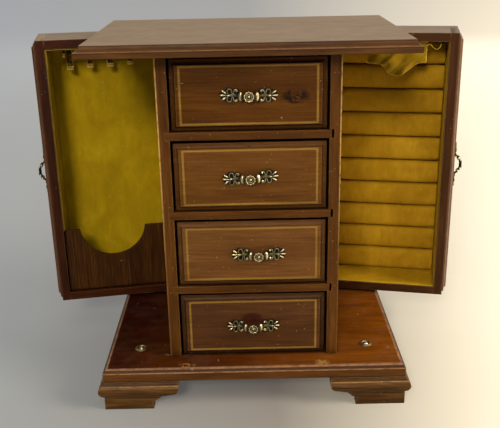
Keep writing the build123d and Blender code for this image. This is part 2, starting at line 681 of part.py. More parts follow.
# Drawers, numbered from the top
for number in range(1, DRAWER_COUNT + 1):
    floor = opening_floor(number)
    front_middle = floor + DRAWER_FOOT_GAP + FRONT_HEIGHT / 2
    box_front = FIELD_Y + DRAWER_FRONT_THICKNESS
    box_rear = COCK_FRONT - DRAWER_MOVEMENT_GAP if number == DRAWER_COUNT else BACK_FACE - DRAWER_REAR_GAP
    pull_x = drawer_pull_x(number)
    inlay_size = (FRONT_WIDTH - 2 * INLAY_INSET_X, FRONT_HEIGHT - 2 * INLAY_INSET_Z)
    inlay_hole = (inlay_size[0] - 2 * INLAY_WIDTH, inlay_size[1] - 2 * INLAY_WIDTH)
    inlay_frame = Plane(origin=(0, FIELD_Y + INLAY_DEPTH, front_middle), x_dir=(1, 0, 0), z_dir=(0, -1, 0))
    inlay = ring(inlay_size, inlay_hole, inlay_frame, INLAY_DEPTH)
    front_frame = Plane(origin=(0, box_front, front_middle), x_dir=(1, 0, 0), z_dir=(0, -1, 0))
    blank = moulded_board(front_frame, FRONT_WIDTH, FRONT_HEIGHT, DRAWER_FRONT_THICKNESS, DRAWER_MOULDING)
    with BuildPart() as drawer_front:
        add(blank)
        add(inlay, mode=Mode.SUBTRACT)
        for side in (-1, 1):
            rod((pull_x + side * PULL_PIN_PLACE, FIELD_Y, front_middle), (0, 1, 0),
                PULL_PIN_RADIUS + PIN_HOLE_CLEARANCE, PULL_PIN_LENGTH + PIN_HOLE_CLEARANCE, Mode.SUBTRACT)
    keep(f"drawer_{number}_front", drawer_front.part)
    keep(f"drawer_{number}_inlay", inlay)
    keep(f"drawer_{number}_pull", pull.part.moved(Location((pull_x, FIELD_Y, front_middle))))
    half = FRONT_WIDTH / 2
    low = floor + DRAWER_RUN_GAP
    high = low + DRAWER_BOX_HEIGHT
    bottom_low = low + DRAWER_BOTTOM_RISE
    bottom_high = bottom_low + DRAWER_BOTTOM
    walls = [
        board((side * half, box_front, low), (side * (half - DRAWER_WALL), box_rear, high))
        for side in (-1, 1)
    ]
    inner = half - DRAWER_WALL
    inner_rear = box_rear - DRAWER_WALL
    walls.append(board((-inner, inner_rear, low), (inner, box_rear, high)))
    walls.append(board((-inner, box_front, bottom_low), (inner, inner_rear, bottom_high)))
    keep(f"drawer_{number}_box", *walls)
    with BuildPart() as lining:
        box((-inner, box_front, bottom_high), (inner, inner_rear, high))
        box((-inner + LINING, box_front + LINING, bottom_high + LINING),
            (inner - LINING, inner_rear - LINING, high), Mode.SUBTRACT)
    keep(f"drawer_{number}_lining", lining.part)


def hinge_leaf(plane, plate_low, plate_high, own_thirds, pinned):
    """One leaf with its knuckles about the plane's z: own_thirds tells which thirds it fills."""
    third = HINGE_HEIGHT / 3
    with BuildPart(plane) as leaf:
        box(plate_low, plate_high)
        for number in range(3):
            with Locations((0, 0, (number - 1) * third)):
                if number not in own_thirds:
                    Cylinder(KNUCKLE_RADIUS + KNUCKLE_CLEARANCE, third, mode=Mode.SUBTRACT)
                elif pinned:
                    Cylinder(KNUCKLE_RADIUS, third)
                else:
                    Cylinder(KNUCKLE_RADIUS, third - 2 * KNUCKLE_END_GAP)
        if pinned:
            Cylinder(HINGE_PIN_RADIUS, HINGE_HEIGHT)
        else:
            Cylinder(HINGE_PIN_RADIUS + PIN_CLEARANCE, HINGE_HEIGHT, mode=Mode.SUBTRACT)
    return leaf.part


def tray_pull_place(side, plane):
    """Where a pull stands upright on a tray's outer end, pointing away from the hinge."""
    reach = side * (TRAY_LENGTH + FRONT_PANEL_THICKNESS)
    upright = Location((reach, TRAY_DEPTH / 2, PULL_Z)) * Location((0, 0, 0), (0, 0, side * 90))
    return plane.location * upright * Location((0, 0, 0), (0, 90, 0))


# The two trays. Each is built on a plane at its hinge, whose x runs along the rim in the open
# pose and whose y runs from the rim to the outer panel. The left tray reaches to -x, the right to +x.
for side, hand, opening in ((-1, "left", LEFT_OPENING), (1, "right", RIGHT_OPENING)):
    lean = radians(90 - opening)
    along = (cos(lean), -side * sin(lean), 0)
    tray = Plane(origin=(side * HINGE_X, HINGE_Y, 0), x_dir=along, z_dir=(0, 0, 1))
    trays[hand] = tray
    pin_heights = [PULL_Z - PULL_PIN_PLACE, PULL_Z + PULL_PIN_PLACE]
    end_normal = tray.x_dir * side

    # Walls: two stiles and two rails, rabbeted for the outer panel
    walls = []
    for first, last in ((0, TRAY_WALL), (TRAY_INNER_END, TRAY_LENGTH)):
        with BuildPart(tray) as stile:
            box((side * first, 0, TRAY_BOTTOM), (side * last, TRAY_DEPTH, TRAY_TOP))
            if first:
                upright = stile.edges().filter_by(Axis.Z).sort_by(Axis(tray.origin, end_normal))
                fillet(upright[-2:], TRAY_CORNER)
                with Locations((side * STRIKE_REACH, TRAY_DEPTH / 2, TRAY_BOTTOM + STRIKE_THICKNESS / 2)):
                    Cylinder(STRIKE_RADIUS, STRIKE_THICKNESS, mode=Mode.SUBTRACT)
                for height in pin_heights:
                    start = tray.from_local_coords((side * TRAY_LENGTH, TRAY_DEPTH / 2, height))
                    rod(start, end_normal * -1, PULL_PIN_RADIUS + PIN_HOLE_CLEARANCE,
                        PULL_PIN_LENGTH - FRONT_PANEL_THICKNESS + PIN_HOLE_CLEARANCE, Mode.SUBTRACT)
            else:
                for height in HINGE_HEIGHTS:
                    low, high = height - HINGE_HEIGHT / 2, height + HINGE_HEIGHT / 2
                    box((0, 0, low), (side * LEAF_WIDTH, LEAF_THICKNESS, high), Mode.SUBTRACT)
                    with Locations((0, 0, height)):
                        Cylinder(KNUCKLE_RADIUS + KNUCKLE_CLEARANCE, HINGE_HEIGHT, mode=Mode.SUBTRACT)
            box((side * TRAY_RABBET, TRAY_INNER_DEPTH, TRAY_BOTTOM + TRAY_RABBET),
                (side * (TRAY_LENGTH - TRAY_RABBET), TRAY_DEPTH, TRAY_TOP - TRAY_RABBET), Mode.SUBTRACT)
        walls.append(stile.part)
    for low, high in ((TRAY_BOTTOM, TRAY_FLOOR), (TRAY_CEILING, TRAY_TOP)):
        with BuildPart(tray) as rail:
            box((side * TRAY_WALL, 0, low), (side * TRAY_INNER_END, TRAY_DEPTH, high))
            box((side * TRAY_WALL, TRAY_INNER_DEPTH, TRAY_BOTTOM + TRAY_RABBET),
                (side * TRAY_INNER_END, TRAY_DEPTH, TRAY_TOP - TRAY_RABBET), Mode.SUBTRACT)
        walls.append(rail.part)
    keep(f"{hand}_tray_walls", *walls)
    keep(f"{hand}_tray_outer_panel", board(
        (side * TRAY_RABBET, TRAY_INNER_DEPTH, TRAY_BOTTOM + TRAY_RABBET),
        (side * (TRAY_LENGTH - TRAY_RABBET), TRAY_DEPTH, TRAY_TOP - TRAY_RABBET), tray))

    # Moulded panel on the end that faces forward when the tray is shut, and its upright pull
    panel_origin = tray.from_local_coords((side * TRAY_LENGTH, TRAY_DEPTH / 2, PULL_Z))
    panel_frame = Plane(origin=panel_origin, x_dir=tray.y_dir * side, z_dir=end_normal)
    panel_blank = moulded_board(panel_frame, TRAY_DEPTH - 2 * FRONT_PANEL_MARGIN,
                                TRAY_HEIGHT - 2 * FRONT_PANEL_MARGIN, FRONT_PANEL_THICKNESS, PANEL_MOULDING)
    with BuildPart() as front_panel:
        add(panel_blank)
        for height in pin_heights:
            start = tray.from_local_coords((side * TRAY_LENGTH, TRAY_DEPTH / 2, height))
            rod(start, end_normal, PULL_PIN_RADIUS + PIN_HOLE_CLEARANCE,
                FRONT_PANEL_THICKNESS, Mode.SUBTRACT)
    keep(f"{hand}_tray_front_panel", front_panel.part)
    keep(f"{hand}_tray_pull", pull.part.moved(tray_pull_place(side, tray)))

    # Velvet lining on the outer panel and the walls. The right tray's ceiling piece has come loose.
    ceiling = TRAY_CEILING - LINING if hand == "left" else TRAY_CEILING
    with BuildPart(tray) as tray_lining:
        box((side * TRAY_WALL, LINING_RIM_INSET, TRAY_FLOOR),
            (side * TRAY_INNER_END, TRAY_INNER_DEPTH, TRAY_CEILING))
        box((side * (TRAY_WALL + LINING), LINING_RIM_INSET, TRAY_FLOOR + LINING),
            (side * (TRAY_INNER_END - LINING), TRAY_INNER_DEPTH - LINING, ceiling), Mode.SUBTRACT)
    keep(f"{hand}_tray_lining", tray_lining.part)

    # Hinges and strike: the leaves with the middle knuckles, and the plate that the ball clicks into
    fittings = []
    fixed = []
    for height in HINGE_HEIGHTS:
        pivot = Plane(origin=tray.from_local_coords((0, 0, height)), x_dir=tray.x_dir, z_dir=(0, 0, 1))
        fittings.append(hinge_leaf(pivot, (0, 0, -HINGE_HEIGHT / 2),
                                   (side * LEAF_WIDTH, LEAF_THICKNESS, HINGE_HEIGHT / 2), (1,), False))
        square = Plane(origin=(side * HINGE_X, HINGE_Y, height))
        fixed.append(hinge_leaf(square, (-side * HINGE_GAP, -LEAF_WIDTH, -HINGE_HEIGHT / 2),
                                (-side * (HINGE_GAP + LEAF_THICKNESS), 0, HINGE_HEIGHT / 2), (0, 2), True))
    with BuildPart(tray) as strike:
        with Locations((side * STRIKE_REACH, TRAY_DEPTH / 2, TRAY_BOTTOM + STRIKE_THICKNESS / 2)):
            Cylinder(STRIKE_RADIUS, STRIKE_THICKNESS)
            Cylinder(STRIKE_DIMPLE_RADIUS, STRIKE_THICKNESS, mode=Mode.SUBTRACT)
    fittings.append(strike.part)
    keep(f"{hand}_tray_hinges_and_strike", *fittings)
    keep(f"cabinet_hinge_leaves_{hand}", *fixed)

left_tray = trays["left"]
right_tray = trays["right"]

# Left tray: the pocket's panel stands on the floor, a little behind the rim
pocket_top = TRAY_FLOOR + POCKET_HEIGHT
with BuildPart(left_tray) as pocket:
    box((-TRAY_WALL - LINING, POCKET_RECESS, TRAY_FLOOR + LINING),
        (-TRAY_INNER_END + LINING, POCKET_RECESS + POCKET_THICKNESS, pocket_top))
    middle = -TRAY_LENGTH / 2 - POCKET_NOTCH_SHIFT
    with Locations(Location((middle, POCKET_RECESS + POCKET_THICKNESS / 2, pocket_top + POCKET_NOTCH_RISE),
                            (90, 0, 0))):
        Cylinder(POCKET_NOTCH_RADIUS, 2 * POCKET_THICKNESS, mode=Mode.SUBTRACT)
keep("left_tray_pocket", pocket.part)


def necklace_hook(from_outer_end, drop, depth):
    """A brass strip: a foot on the ceiling, a straight drop and a curl that comes forward and up."""
    ceiling = TRAY_CEILING - LINING
    plane = Plane(origin=left_tray.from_local_coords((-TRAY_LENGTH + from_outer_end, 0, 0)),
                  x_dir=left_tray.y_dir, z_dir=left_tray.x_dir)
    with BuildPart() as hook:
        with BuildSketch(plane) as strip:
            with BuildLine() as path:
                Polyline(
                    (depth + HOOK_FOOT, ceiling - HOOK_STOCK / 2),
                    (depth, ceiling - HOOK_STOCK / 2),
                    (depth, ceiling - drop + HOOK_CURL_RADIUS),
                )
                ThreePointArc(
                    (depth, ceiling - drop + HOOK_CURL_RADIUS),
                    (depth - HOOK_CURL_RADIUS, ceiling - drop),
                    (depth - 2 * HOOK_CURL_RADIUS, ceiling - drop + HOOK_CURL_RADIUS),
                )
                Line(
                    (depth - 2 * HOOK_CURL_RADIUS, ceiling - drop + HOOK_CURL_RADIUS),
                    (depth - 2 * HOOK_CURL_RADIUS, ceiling - drop + HOOK_CURL_RADIUS + HOOK_LIP),
                )
            trace(path.line, line_width=HOOK_STOCK)
        extrude(strip.sketch, amount=HOOK_WIDTH / 2, both=True)
    return hook.part


hooks = [
    necklace_hook(HOOK_FIRST + number * HOOK_PITCH, HOOK_DROP, HOOK_FRONT_DEPTH)
    for number in range(HOOK_COUNT)
]
hooks.append(necklace_hook(BENT_HOOK_PLACE, BENT_HOOK_DROP, BENT_HOOK_DEPTH))
keep("necklace_hooks", *hooks)


def ring_roll(low, high, start, end, back):
    """A padded bar with a crowned front, round corners and ends drawn in."""
    middle = (low + high) / 2
    round_off = ROUND_SHARE * ROLL_CORNER
    lengths = (start, start + ROLL_CORNER, end - ROLL_CORNER, end)
    pinches = (ROLL_END_PINCH, 0, 0, ROLL_END_PINCH)
    with BuildPart() as roll:
        for place, pinch in zip(lengths, pinches):
            front = back - ROLL_THICKNESS + pinch
            crown = front - ROLL_CROWN
            bottom, top = low + pinch, high - pinch
            plane = Plane(origin=right_tray.from_local_coords((place, 0, 0)),
                          x_dir=right_tray.y_dir, z_dir=right_tray.x_dir)
            low_start, low_end = (front + ROLL_CORNER, bottom), (front, bottom + ROLL_CORNER)
            high_start, high_end = (front, top - ROLL_CORNER), (front + ROLL_CORNER, top)
            with BuildSketch(plane):
                with BuildLine():
                    Line((back, bottom), low_start)
                    ThreePointArc(low_start, (front + round_off, bottom + round_off), low_end)
                    ThreePointArc(low_end, (crown, middle), high_start)
                    ThreePointArc(high_start, (front + round_off, top - round_off), high_end)
                    Polyline(high_end, (back, top), (back, bottom))
                make_face()
        loft(ruled=True)
    return roll.part


# Right tray: a column of padded ring rolls on the outer panel's lining
rolls = []
for number in range(ROLL_COUNT):
    low = ROLL_COLUMN_FOOT + number * ROLL_PITCH
    rolls.append(ring_roll(low, low + ROLL_PITCH - ROLL_GAP, TRAY_WALL + LINING + ROLL_END_GAP,
                           TRAY_INNER_END - LINING - ROLL_END_GAP, TRAY_INNER_DEPTH - LINING))
keep("ring_rolls", *rolls)


def folded_band(start, end, depth, fold, thickness):
    """The plan of hanging cloth: four arcs that fold to and fro, at one thickness."""
    quarter = (end - start) / 4
    with BuildSketch() as plan:
        with BuildLine() as wave:
            for number in range(4):
                near = start + number * quarter
                swing = fold if number % 2 else -fold
                ThreePointArc((near, depth), (near + quarter / 2, depth + swing), (near + quarter, depth))
        trace(wave.line, line_width=thickness)
    return plan.sketch


# Right tray: the ceiling's lining hangs loose over the first ring rolls, torn along its lower edge
flap_plan = folded_band(FLAP_INNER_END, FLAP_OUTER_END, FLAP_DEPTH, FLAP_FOLD, FLAP_THICKNESS)
inner_edge = (FLAP_INNER_END - CUT_MARGIN, TRAY_CEILING - FLAP_HIGH_EDGE)
outer_edge = (FLAP_OUTER_END + CUT_MARGIN, TRAY_CEILING - FLAP_OUTER_EDGE)
tongue = (FLAP_TONGUE_PLACE, TRAY_CEILING - FLAP_TONGUE)
tear = ((FLAP_INNER_END + FLAP_TONGUE_PLACE) / 2, TRAY_CEILING - FLAP_STEP)
outer_belly = ((FLAP_OUTER_END + FLAP_TONGUE_PLACE) / 2, TRAY_CEILING - FLAP_BELLY)
inner_belly = (tear[0] + FLAP_BELLY_SHIFT, TRAY_CEILING - FLAP_BELLY)
flap_height = FLAP_TONGUE + CUT_MARGIN
with BuildPart() as flap:
    flap_floor = Plane(origin=right_tray.from_local_coords((0, 0, TRAY_CEILING - flap_height)),
                       x_dir=right_tray.x_dir, z_dir=(0, 0, 1))
    with BuildSketch(flap_floor):
        add(flap_plan)
    extrude(amount=flap_height)
    elevation = Plane(origin=right_tray.origin, x_dir=right_tray.x_dir, z_dir=-right_tray.y_dir)
    with BuildSketch(elevation) as outline:
        with BuildLine():
            Polyline(tear, inner_edge, (inner_edge[0], TRAY_CEILING), (outer_edge[0], TRAY_CEILING),
                     outer_edge)
            ThreePointArc(outer_edge, outer_belly, tongue)
            ThreePointArc(tongue, inner_belly, tear)
        make_face()
    extrude(outline.sketch, amount=TRAY_DEPTH, both=True, mode=Mode.INTERSECT)
keep("right_tray_loose_lining", flap.part)

# Ball catches: a flanged cup pressed into the base, with a ball that sinks against its spring
cups = []
for side, hand in ((-1, "left"), (1, "right")):
    foot = (side * CATCH_X, CATCH_Y, BASE_TOP - CUP_DEPTH)
    with BuildPart() as cup:
        rod(foot, (0, 0, 1), CUP_RADIUS, CUP_DEPTH)
        rod((*foot[:2], BASE_TOP), (0, 0, 1), CUP_FLANGE_RADIUS, CUP_FLANGE)
        fillet(cup.edges().filter_by(GeomType.CIRCLE).sort_by(Axis.Z)[-1], CUP_FLANGE / 2)
        well_floor = BALL_Z - BALL_RADIUS - BALL_TRAVEL - BALL_LIP_GAP
        lip = BASE_TOP + CUP_FLANGE - CUP_LIP
        lip_radius = sqrt(BALL_RADIUS ** 2 - (lip - BALL_Z) ** 2) + BALL_LIP_GAP
        rod((*foot[:2], well_floor), (0, 0, 1), BALL_RADIUS + BALL_RUNNING_GAP,
            lip - well_floor, Mode.SUBTRACT)
        rod((*foot[:2], lip), (0, 0, 1), lip_radius, CUP_LIP, Mode.SUBTRACT)
    cups.append(cup.part)
    with BuildPart() as ball:
        with Locations((side * CATCH_X, CATCH_Y, BALL_Z)):
            Sphere(BALL_RADIUS)
    keep(f"catch_ball_{hand}", ball.part)
keep("ball_catch_cups", *cups)

# Musical movement, on the inside of the back behind the lowest drawer. Its plate stands upright.
drum_axis = Plane(origin=(DRUM_END, DRUM_Y, DRUM_HEIGHT), x_dir=(0, 1, 0), z_dir=(1, 0, 0))
governor_axis = Plane(origin=(DRUM_END, DRUM_Y, GOVERNOR_HEIGHT), x_dir=(0, 1, 0), z_dir=(1, 0, 0))
with BuildPart() as bedplate:
    box((-BEDPLATE_LEFT, PLATE_FACE, MOVEMENT_FLOOR + BEDPLATE_LOW),
        (BEDPLATE_RIGHT, BACK_FACE, MOVEMENT_FLOOR + BEDPLATE_HIGH))
    for start, low, high in (
        (LEFT_POST, DRUM_HEIGHT, DRUM_HEIGHT),
        (MIDDLE_POST, DRUM_HEIGHT, GOVERNOR_HEIGHT),
        (OUTER_POST, GOVERNOR_HEIGHT, GOVERNOR_HEIGHT),
    ):
        box((start, POST_FRONT, low - POST_HALF_HEIGHT),
            (start + POST_THICKNESS, PLATE_FACE, high + POST_HALF_HEIGHT))
    box((COMB_START, COMB_REAR, COMB_FOOT), (COMB_END, PLATE_FACE, COMB_FOOT + COMB_ROOT))
    box((FLY_X - COCK_WIDTH / 2, COCK_FRONT, COCK_FOOT), (FLY_X + COCK_WIDTH / 2, PLATE_FACE, COCK_TOP))
    box((FLY_X - COCK_WIDTH / 2, COCK_FRONT, FLY_Z - COCK_WIDTH / 2),
        (FLY_X + COCK_WIDTH / 2, COCK_REAR, COCK_TOP))
    rod((LEVER_PIVOT_X, PLATE_FACE, LEVER_Z), FORWARD, LEVER_STUD_RADIUS + LEVER_STUD_COLLAR,
        PLATE_FACE - LEVER_Y - LEVER_THICKNESS / 2 - LEVER_END_PLAY)
    rod((LEVER_PIVOT_X, PLATE_FACE, LEVER_Z), FORWARD, LEVER_STUD_RADIUS,
        PLATE_FACE - LEVER_Y + LEVER_STUD_TIP)
    rod((LEVER_PIVOT_X, LEVER_Y - LEVER_THICKNESS / 2 - LEVER_END_PLAY, LEVER_Z), FORWARD,
        LEVER_STUD_RADIUS + LEVER_STUD_COLLAR, LEVER_THICKNESS - LEVER_END_PLAY)
    for start in (LEFT_POST, MIDDLE_POST):
        rod((start, DRUM_Y, DRUM_HEIGHT), (1, 0, 0), DRUM_ARBOR_RADIUS + SMALL_CLEARANCE,
            POST_THICKNESS, Mode.SUBTRACT)
    rod((MIDDLE_POST, DRUM_Y, GOVERNOR_HEIGHT), (1, 0, 0), SMALL_ARBOR_RADIUS + SMALL_CLEARANCE,
        OUTER_POST + POST_THICKNESS - MIDDLE_POST, Mode.SUBTRACT)
    rod((FLY_X, COCK_FRONT, FLY_Z), (0, 1, 0), WORM_ROOT_RADIUS + SMALL_CLEARANCE,
        FLY_STAFF_LENGTH, Mode.SUBTRACT)
    rod((BARREL_X, BACK_FACE, KEY_Z), FORWARD, ARBOR_RADIUS + ARBOR_CLEARANCE,
        BEDPLATE_THICKNESS, Mode.SUBTRACT)
    for x in COMB_SCREWS:
        rod((x, COMB_REAR, COMB_SCREW_Z), (0, 1, 0), COMB_SCREW_RADIUS + SCREW_CLEARANCE,
            COMB_SCREW_LENGTH - COMB_THICKNESS, Mode.SUBTRACT)
    lever_slot(BACK_FACE, BEDPLATE_THICKNESS)
keep("movement_bedplate", bedplate.part)

with BuildPart() as barrel:
    rod((BARREL_X, PLATE_FACE, KEY_Z), FORWARD, BARREL_RADIUS, BARREL_HEIGHT)
    fillet(barrel.edges().filter_by(GeomType.CIRCLE).sort_by(Axis.Y)[0], 1)
    rod((BARREL_X, PLATE_FACE, KEY_Z), FORWARD, ARBOR_RADIUS + ARBOR_CLEARANCE,
        ARBOR_ENGAGEMENT, Mode.SUBTRACT)
keep("movement_spring_barrel", barrel.part)

with BuildPart() as winding_key:
    key_start = PLATE_FACE - ARBOR_ENGAGEMENT + ARBOR_CLEARANCE
    key_face = CABINET_REAR + KEY_CLEARANCE
    rod((BARREL_X, key_start, KEY_Z), (0, 1, 0), ARBOR_RADIUS, key_face - key_start)
    rod((BARREL_X, CABINET_REAR + KEY_CLEARANCE / 3, KEY_Z), (0, 1, 0), KEY_BOSS_RADIUS, KEY_CLEARANCE)
    with BuildSketch(Plane.YZ.offset(BARREL_X)) as wings:
        with Locations((key_face + KEY_WING_HEIGHT / 2, KEY_Z)):
            RectangleRounded(KEY_WING_HEIGHT, KEY_WING_WIDTH, KEY_WING_HEIGHT / 3)
    extrude(wings.sketch, amount=KEY_WING_THICKNESS / 2, both=True)
keep("movement_winding_key", winding_key.part)

drum_gear = toothed_disc(drum_axis, DRUM_TEETH, GEAR_MODULE, GEAR_ADDENDUM, GEAR_DEDENDUM,
                         GEAR_WIDTH, DRUM_ARBOR_RADIUS / 2)
with BuildPart() as drum:
    rod((DRUM_START, DRUM_Y, DRUM_HEIGHT), (1, 0, 0), DRUM_RADIUS, DRUM_LENGTH)
    rod((LEFT_POST, DRUM_Y, DRUM_HEIGHT), (1, 0, 0), DRUM_ARBOR_RADIUS,
        MIDDLE_POST + POST_THICKNESS - LEFT_POST)
    for number in range(DRUM_PINS):
        turn = radians(number * DRUM_PIN_TURN)
        x = COMB_START + number % COMB_TEETH * COMB_PITCH + (COMB_PITCH - COMB_SLIT) / 2
        rod((x, DRUM_Y, DRUM_HEIGHT), (0, cos(turn), sin(turn)), DRUM_PIN_RADIUS,
            DRUM_RADIUS + DRUM_PIN_HEIGHT)
    add(drum_gear)
keep("movement_cylinder", drum.part)

pinion = toothed_disc(governor_axis, PINION_TEETH, GEAR_MODULE, GEAR_ADDENDUM, GEAR_DEDENDUM,
                      GEAR_WIDTH, SMALL_ARBOR_RADIUS / 2)
worm_wheel_frame = Plane(origin=(WORM_WHEEL_START, DRUM_Y, GOVERNOR_HEIGHT), x_dir=(0, 0, 1),
                         z_dir=(1, 0, 0))
worm_wheel = toothed_disc(worm_wheel_frame, WORM_WHEEL_TEETH, WORM_MODULE, GEAR_ADDENDUM,
                          GEAR_DEDENDUM, WORM_WHEEL_WIDTH, SMALL_ARBOR_RADIUS / 2)
with BuildPart() as governor_wheel:
    rod((DRUM_END, DRUM_Y, GOVERNOR_HEIGHT), (1, 0, 0), SMALL_ARBOR_RADIUS,
        OUTER_POST + POST_THICKNESS - DRUM_END)
    add(pinion)
    add(worm_wheel)
keep("movement_governor_wheel", governor_wheel.part)

# The fly's worm has two starts, as a flat bar twisted round the staff. It lies level at the wheel's
# middle, so that the wheel's top tooth stands between two turns.
worm_start = (FLY_X, DRUM_Y - WORM_LENGTH / 2, FLY_Z)
with BuildSketch(Plane(origin=worm_start, x_dir=(1, 0, 0), z_dir=FORWARD)) as worm_section:
    Rectangle(2 * WORM_CREST_RADIUS, WORM_THREAD)
    Circle(WORM_CREST_RADIUS, mode=Mode.INTERSECT)
worm_thread = Solid.extrude_linear_with_rotation(
    worm_section.sketch.faces()[0], worm_start, (0, WORM_LENGTH, 0), 360 * WORM_TURNS)
with BuildPart() as fly:
    rod((FLY_X, COCK_FRONT, FLY_Z), (0, 1, 0), WORM_ROOT_RADIUS, FLY_STAFF_LENGTH - SMALL_CLEARANCE)
    add(worm_thread)
    box((FLY_X - FLY_THICKNESS / 2, FLY_REAR - FLY_LENGTH, FLY_Z - FLY_RADIUS),
        (FLY_X + FLY_THICKNESS / 2, FLY_REAR, FLY_Z + FLY_RADIUS))
keep("movement_governor_fly", fly.part)

with BuildPart() as comb:
    box((COMB_START, COMB_FRONT, COMB_FOOT), (COMB_END, COMB_REAR, COMB_TIP))
    for number in range(1, COMB_TEETH):
        slit = COMB_START + number * COMB_PITCH - COMB_SLIT
        box((slit, COMB_FRONT, COMB_FOOT + COMB_ROOT),
            (slit + COMB_SLIT, COMB_REAR, COMB_TIP), Mode.SUBTRACT)
    for x in COMB_SCREWS:
        rod((x, COMB_FRONT, COMB_SCREW_Z), (0, 1, 0), COMB_SCREW_RADIUS + SCREW_CLEARANCE,
            COMB_THICKNESS, Mode.SUBTRACT)
keep("movement_comb", comb.part)

with BuildPart() as lever:
    lever_rear = (LEVER_PIVOT_X, LEVER_Y + LEVER_THICKNESS / 2, LEVER_Z)
    with BuildSketch(Plane(origin=lever_rear, x_dir=(1, 0, 0), z_dir=FORWARD)):
        with Locations(((LEVER_TIP_REACH - LEVER_HANDLE_REACH) / 2, 0)):
            Rectangle(LEVER_TIP_REACH + LEVER_HANDLE_REACH, LEVER_WIDTH / 2)
        Circle(LEVER_WIDTH / 2 + LEVER_STUD_RADIUS / 2)
        with Locations((-LEVER_HANDLE_REACH, 0)):
            Circle(LEVER_WIDTH / 2)
        Circle(LEVER_STUD_RADIUS + SMALL_CLEARANCE, mode=Mode.SUBTRACT)
    extrude(amount=LEVER_THICKNESS)
    rod((HANDLE_X, LEVER_Y, LEVER_Z), (0, 1, 0), LEVER_HANDLE_RADIUS,
        CABINET_REAR + LEVER_HANDLE_LENGTH - LEVER_Y)
keep("movement_stop_lever", lever.part)

# Screws of the fixed body: four wood screws up into the cabinet's sides, two for the comb
screws = [countersunk_screw((x, y, FOOT_HEIGHT), (0, 0, 1)) for x, y in SCREW_PLACES]
for x in COMB_SCREWS:
    with BuildPart() as comb_screw:
        rod((x, COMB_FRONT - COMB_SCREW_HEAD_HEIGHT, COMB_SCREW_Z), (0, 1, 0), COMB_SCREW_HEAD,
            COMB_SCREW_HEAD_HEIGHT)
        rod((x, COMB_FRONT, COMB_SCREW_Z), (0, 1, 0), COMB_SCREW_RADIUS, COMB_SCREW_LENGTH)
    screws.append(comb_screw.part)
keep("fixed_screws", *screws)

# The origin goes under the middle of the open box's outline, and every piece is written out
outline = Compound(list(pieces.values())).bounding_box()
ORIGIN = Vector((outline.min.X + outline.max.X) / 2, (outline.min.Y + outline.max.Y) / 2, 0)
os.makedirs("parts", exist_ok=True)
for name, piece in pieces.items():
    placed = piece.moved(Location(ORIGIN * -1))
    placed.label = name
    export_step(placed, f"parts/{name}.step")
print(len(pieces), "nodes, origin at", tuple(round(value, 3) for value in ORIGIN))
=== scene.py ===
import json
from math import cos, exp, pi, radians, sin

import bmesh
import bpy
from mathutils import Matrix, Vector, noise

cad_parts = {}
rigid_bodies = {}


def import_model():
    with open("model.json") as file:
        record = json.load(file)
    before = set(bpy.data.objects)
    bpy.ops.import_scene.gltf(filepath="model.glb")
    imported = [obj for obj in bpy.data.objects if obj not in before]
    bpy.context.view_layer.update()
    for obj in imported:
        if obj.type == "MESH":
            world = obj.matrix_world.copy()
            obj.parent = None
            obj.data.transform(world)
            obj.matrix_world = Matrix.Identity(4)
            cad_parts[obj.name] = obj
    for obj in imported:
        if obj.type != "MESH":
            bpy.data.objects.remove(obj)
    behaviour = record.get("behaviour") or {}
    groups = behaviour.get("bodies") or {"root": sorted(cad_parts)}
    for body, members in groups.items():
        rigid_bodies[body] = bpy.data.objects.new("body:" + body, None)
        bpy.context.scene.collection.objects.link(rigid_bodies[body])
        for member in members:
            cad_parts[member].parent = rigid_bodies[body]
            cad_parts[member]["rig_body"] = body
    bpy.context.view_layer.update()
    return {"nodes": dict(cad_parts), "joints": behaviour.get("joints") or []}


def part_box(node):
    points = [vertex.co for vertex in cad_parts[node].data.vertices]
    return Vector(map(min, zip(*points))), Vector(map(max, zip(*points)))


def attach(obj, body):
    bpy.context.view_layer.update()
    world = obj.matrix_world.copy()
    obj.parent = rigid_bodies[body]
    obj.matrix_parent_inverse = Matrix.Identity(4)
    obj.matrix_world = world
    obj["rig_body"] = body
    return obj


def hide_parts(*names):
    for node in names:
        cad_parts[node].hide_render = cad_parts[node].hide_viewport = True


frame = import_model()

# Musical jewelry box, dressed: wood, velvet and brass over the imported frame.
# Lengths are written in millimetres and turned into metres where a mesh or a node is made.

MM = 0.001
nodes = frame["nodes"]
joints = {joint["name"]: joint for joint in frame["joints"]}
scene = bpy.context.scene
SIDES = {"left": -1, "right": 1}
X, Y, Z = Vector((1, 0, 0)), Vector((0, 1, 0)), Vector((0, 0, 1))

# Camera, solved from the photograph's straight edges
CAMERA_PLACE = Vector((-2.99, -734.67, 419.8)) * MM
YAW = radians(0.17)
PITCH = radians(20.03)
BANK = radians(1.15)
CAMERA_LENS = 56.22


def add_object(name, data):
    added = bpy.data.objects.new(name, data)
    scene.collection.objects.link(added)
    return added


def make_camera():
    forward = Vector((sin(YAW) * cos(PITCH), cos(YAW) * cos(PITCH), -sin(PITCH)))
    level = Vector((cos(YAW), -sin(YAW), 0))
    down = forward.cross(level)
    right = cos(BANK) * level + sin(BANK) * down
    below = cos(BANK) * down - sin(BANK) * level
    data = bpy.data.cameras.new("camera")
    data.lens = CAMERA_LENS
    data.sensor_fit = "HORIZONTAL"
    data.clip_start = 0.05
    data.clip_end = 50
    camera = add_object("camera", data)
    turn = Matrix((right, -below, -forward)).transposed()
    camera.matrix_world = Matrix.Translation(CAMERA_PLACE) @ turn.to_4x4()
    scene.camera = camera


make_camera()

BAND_FADE = 0.25


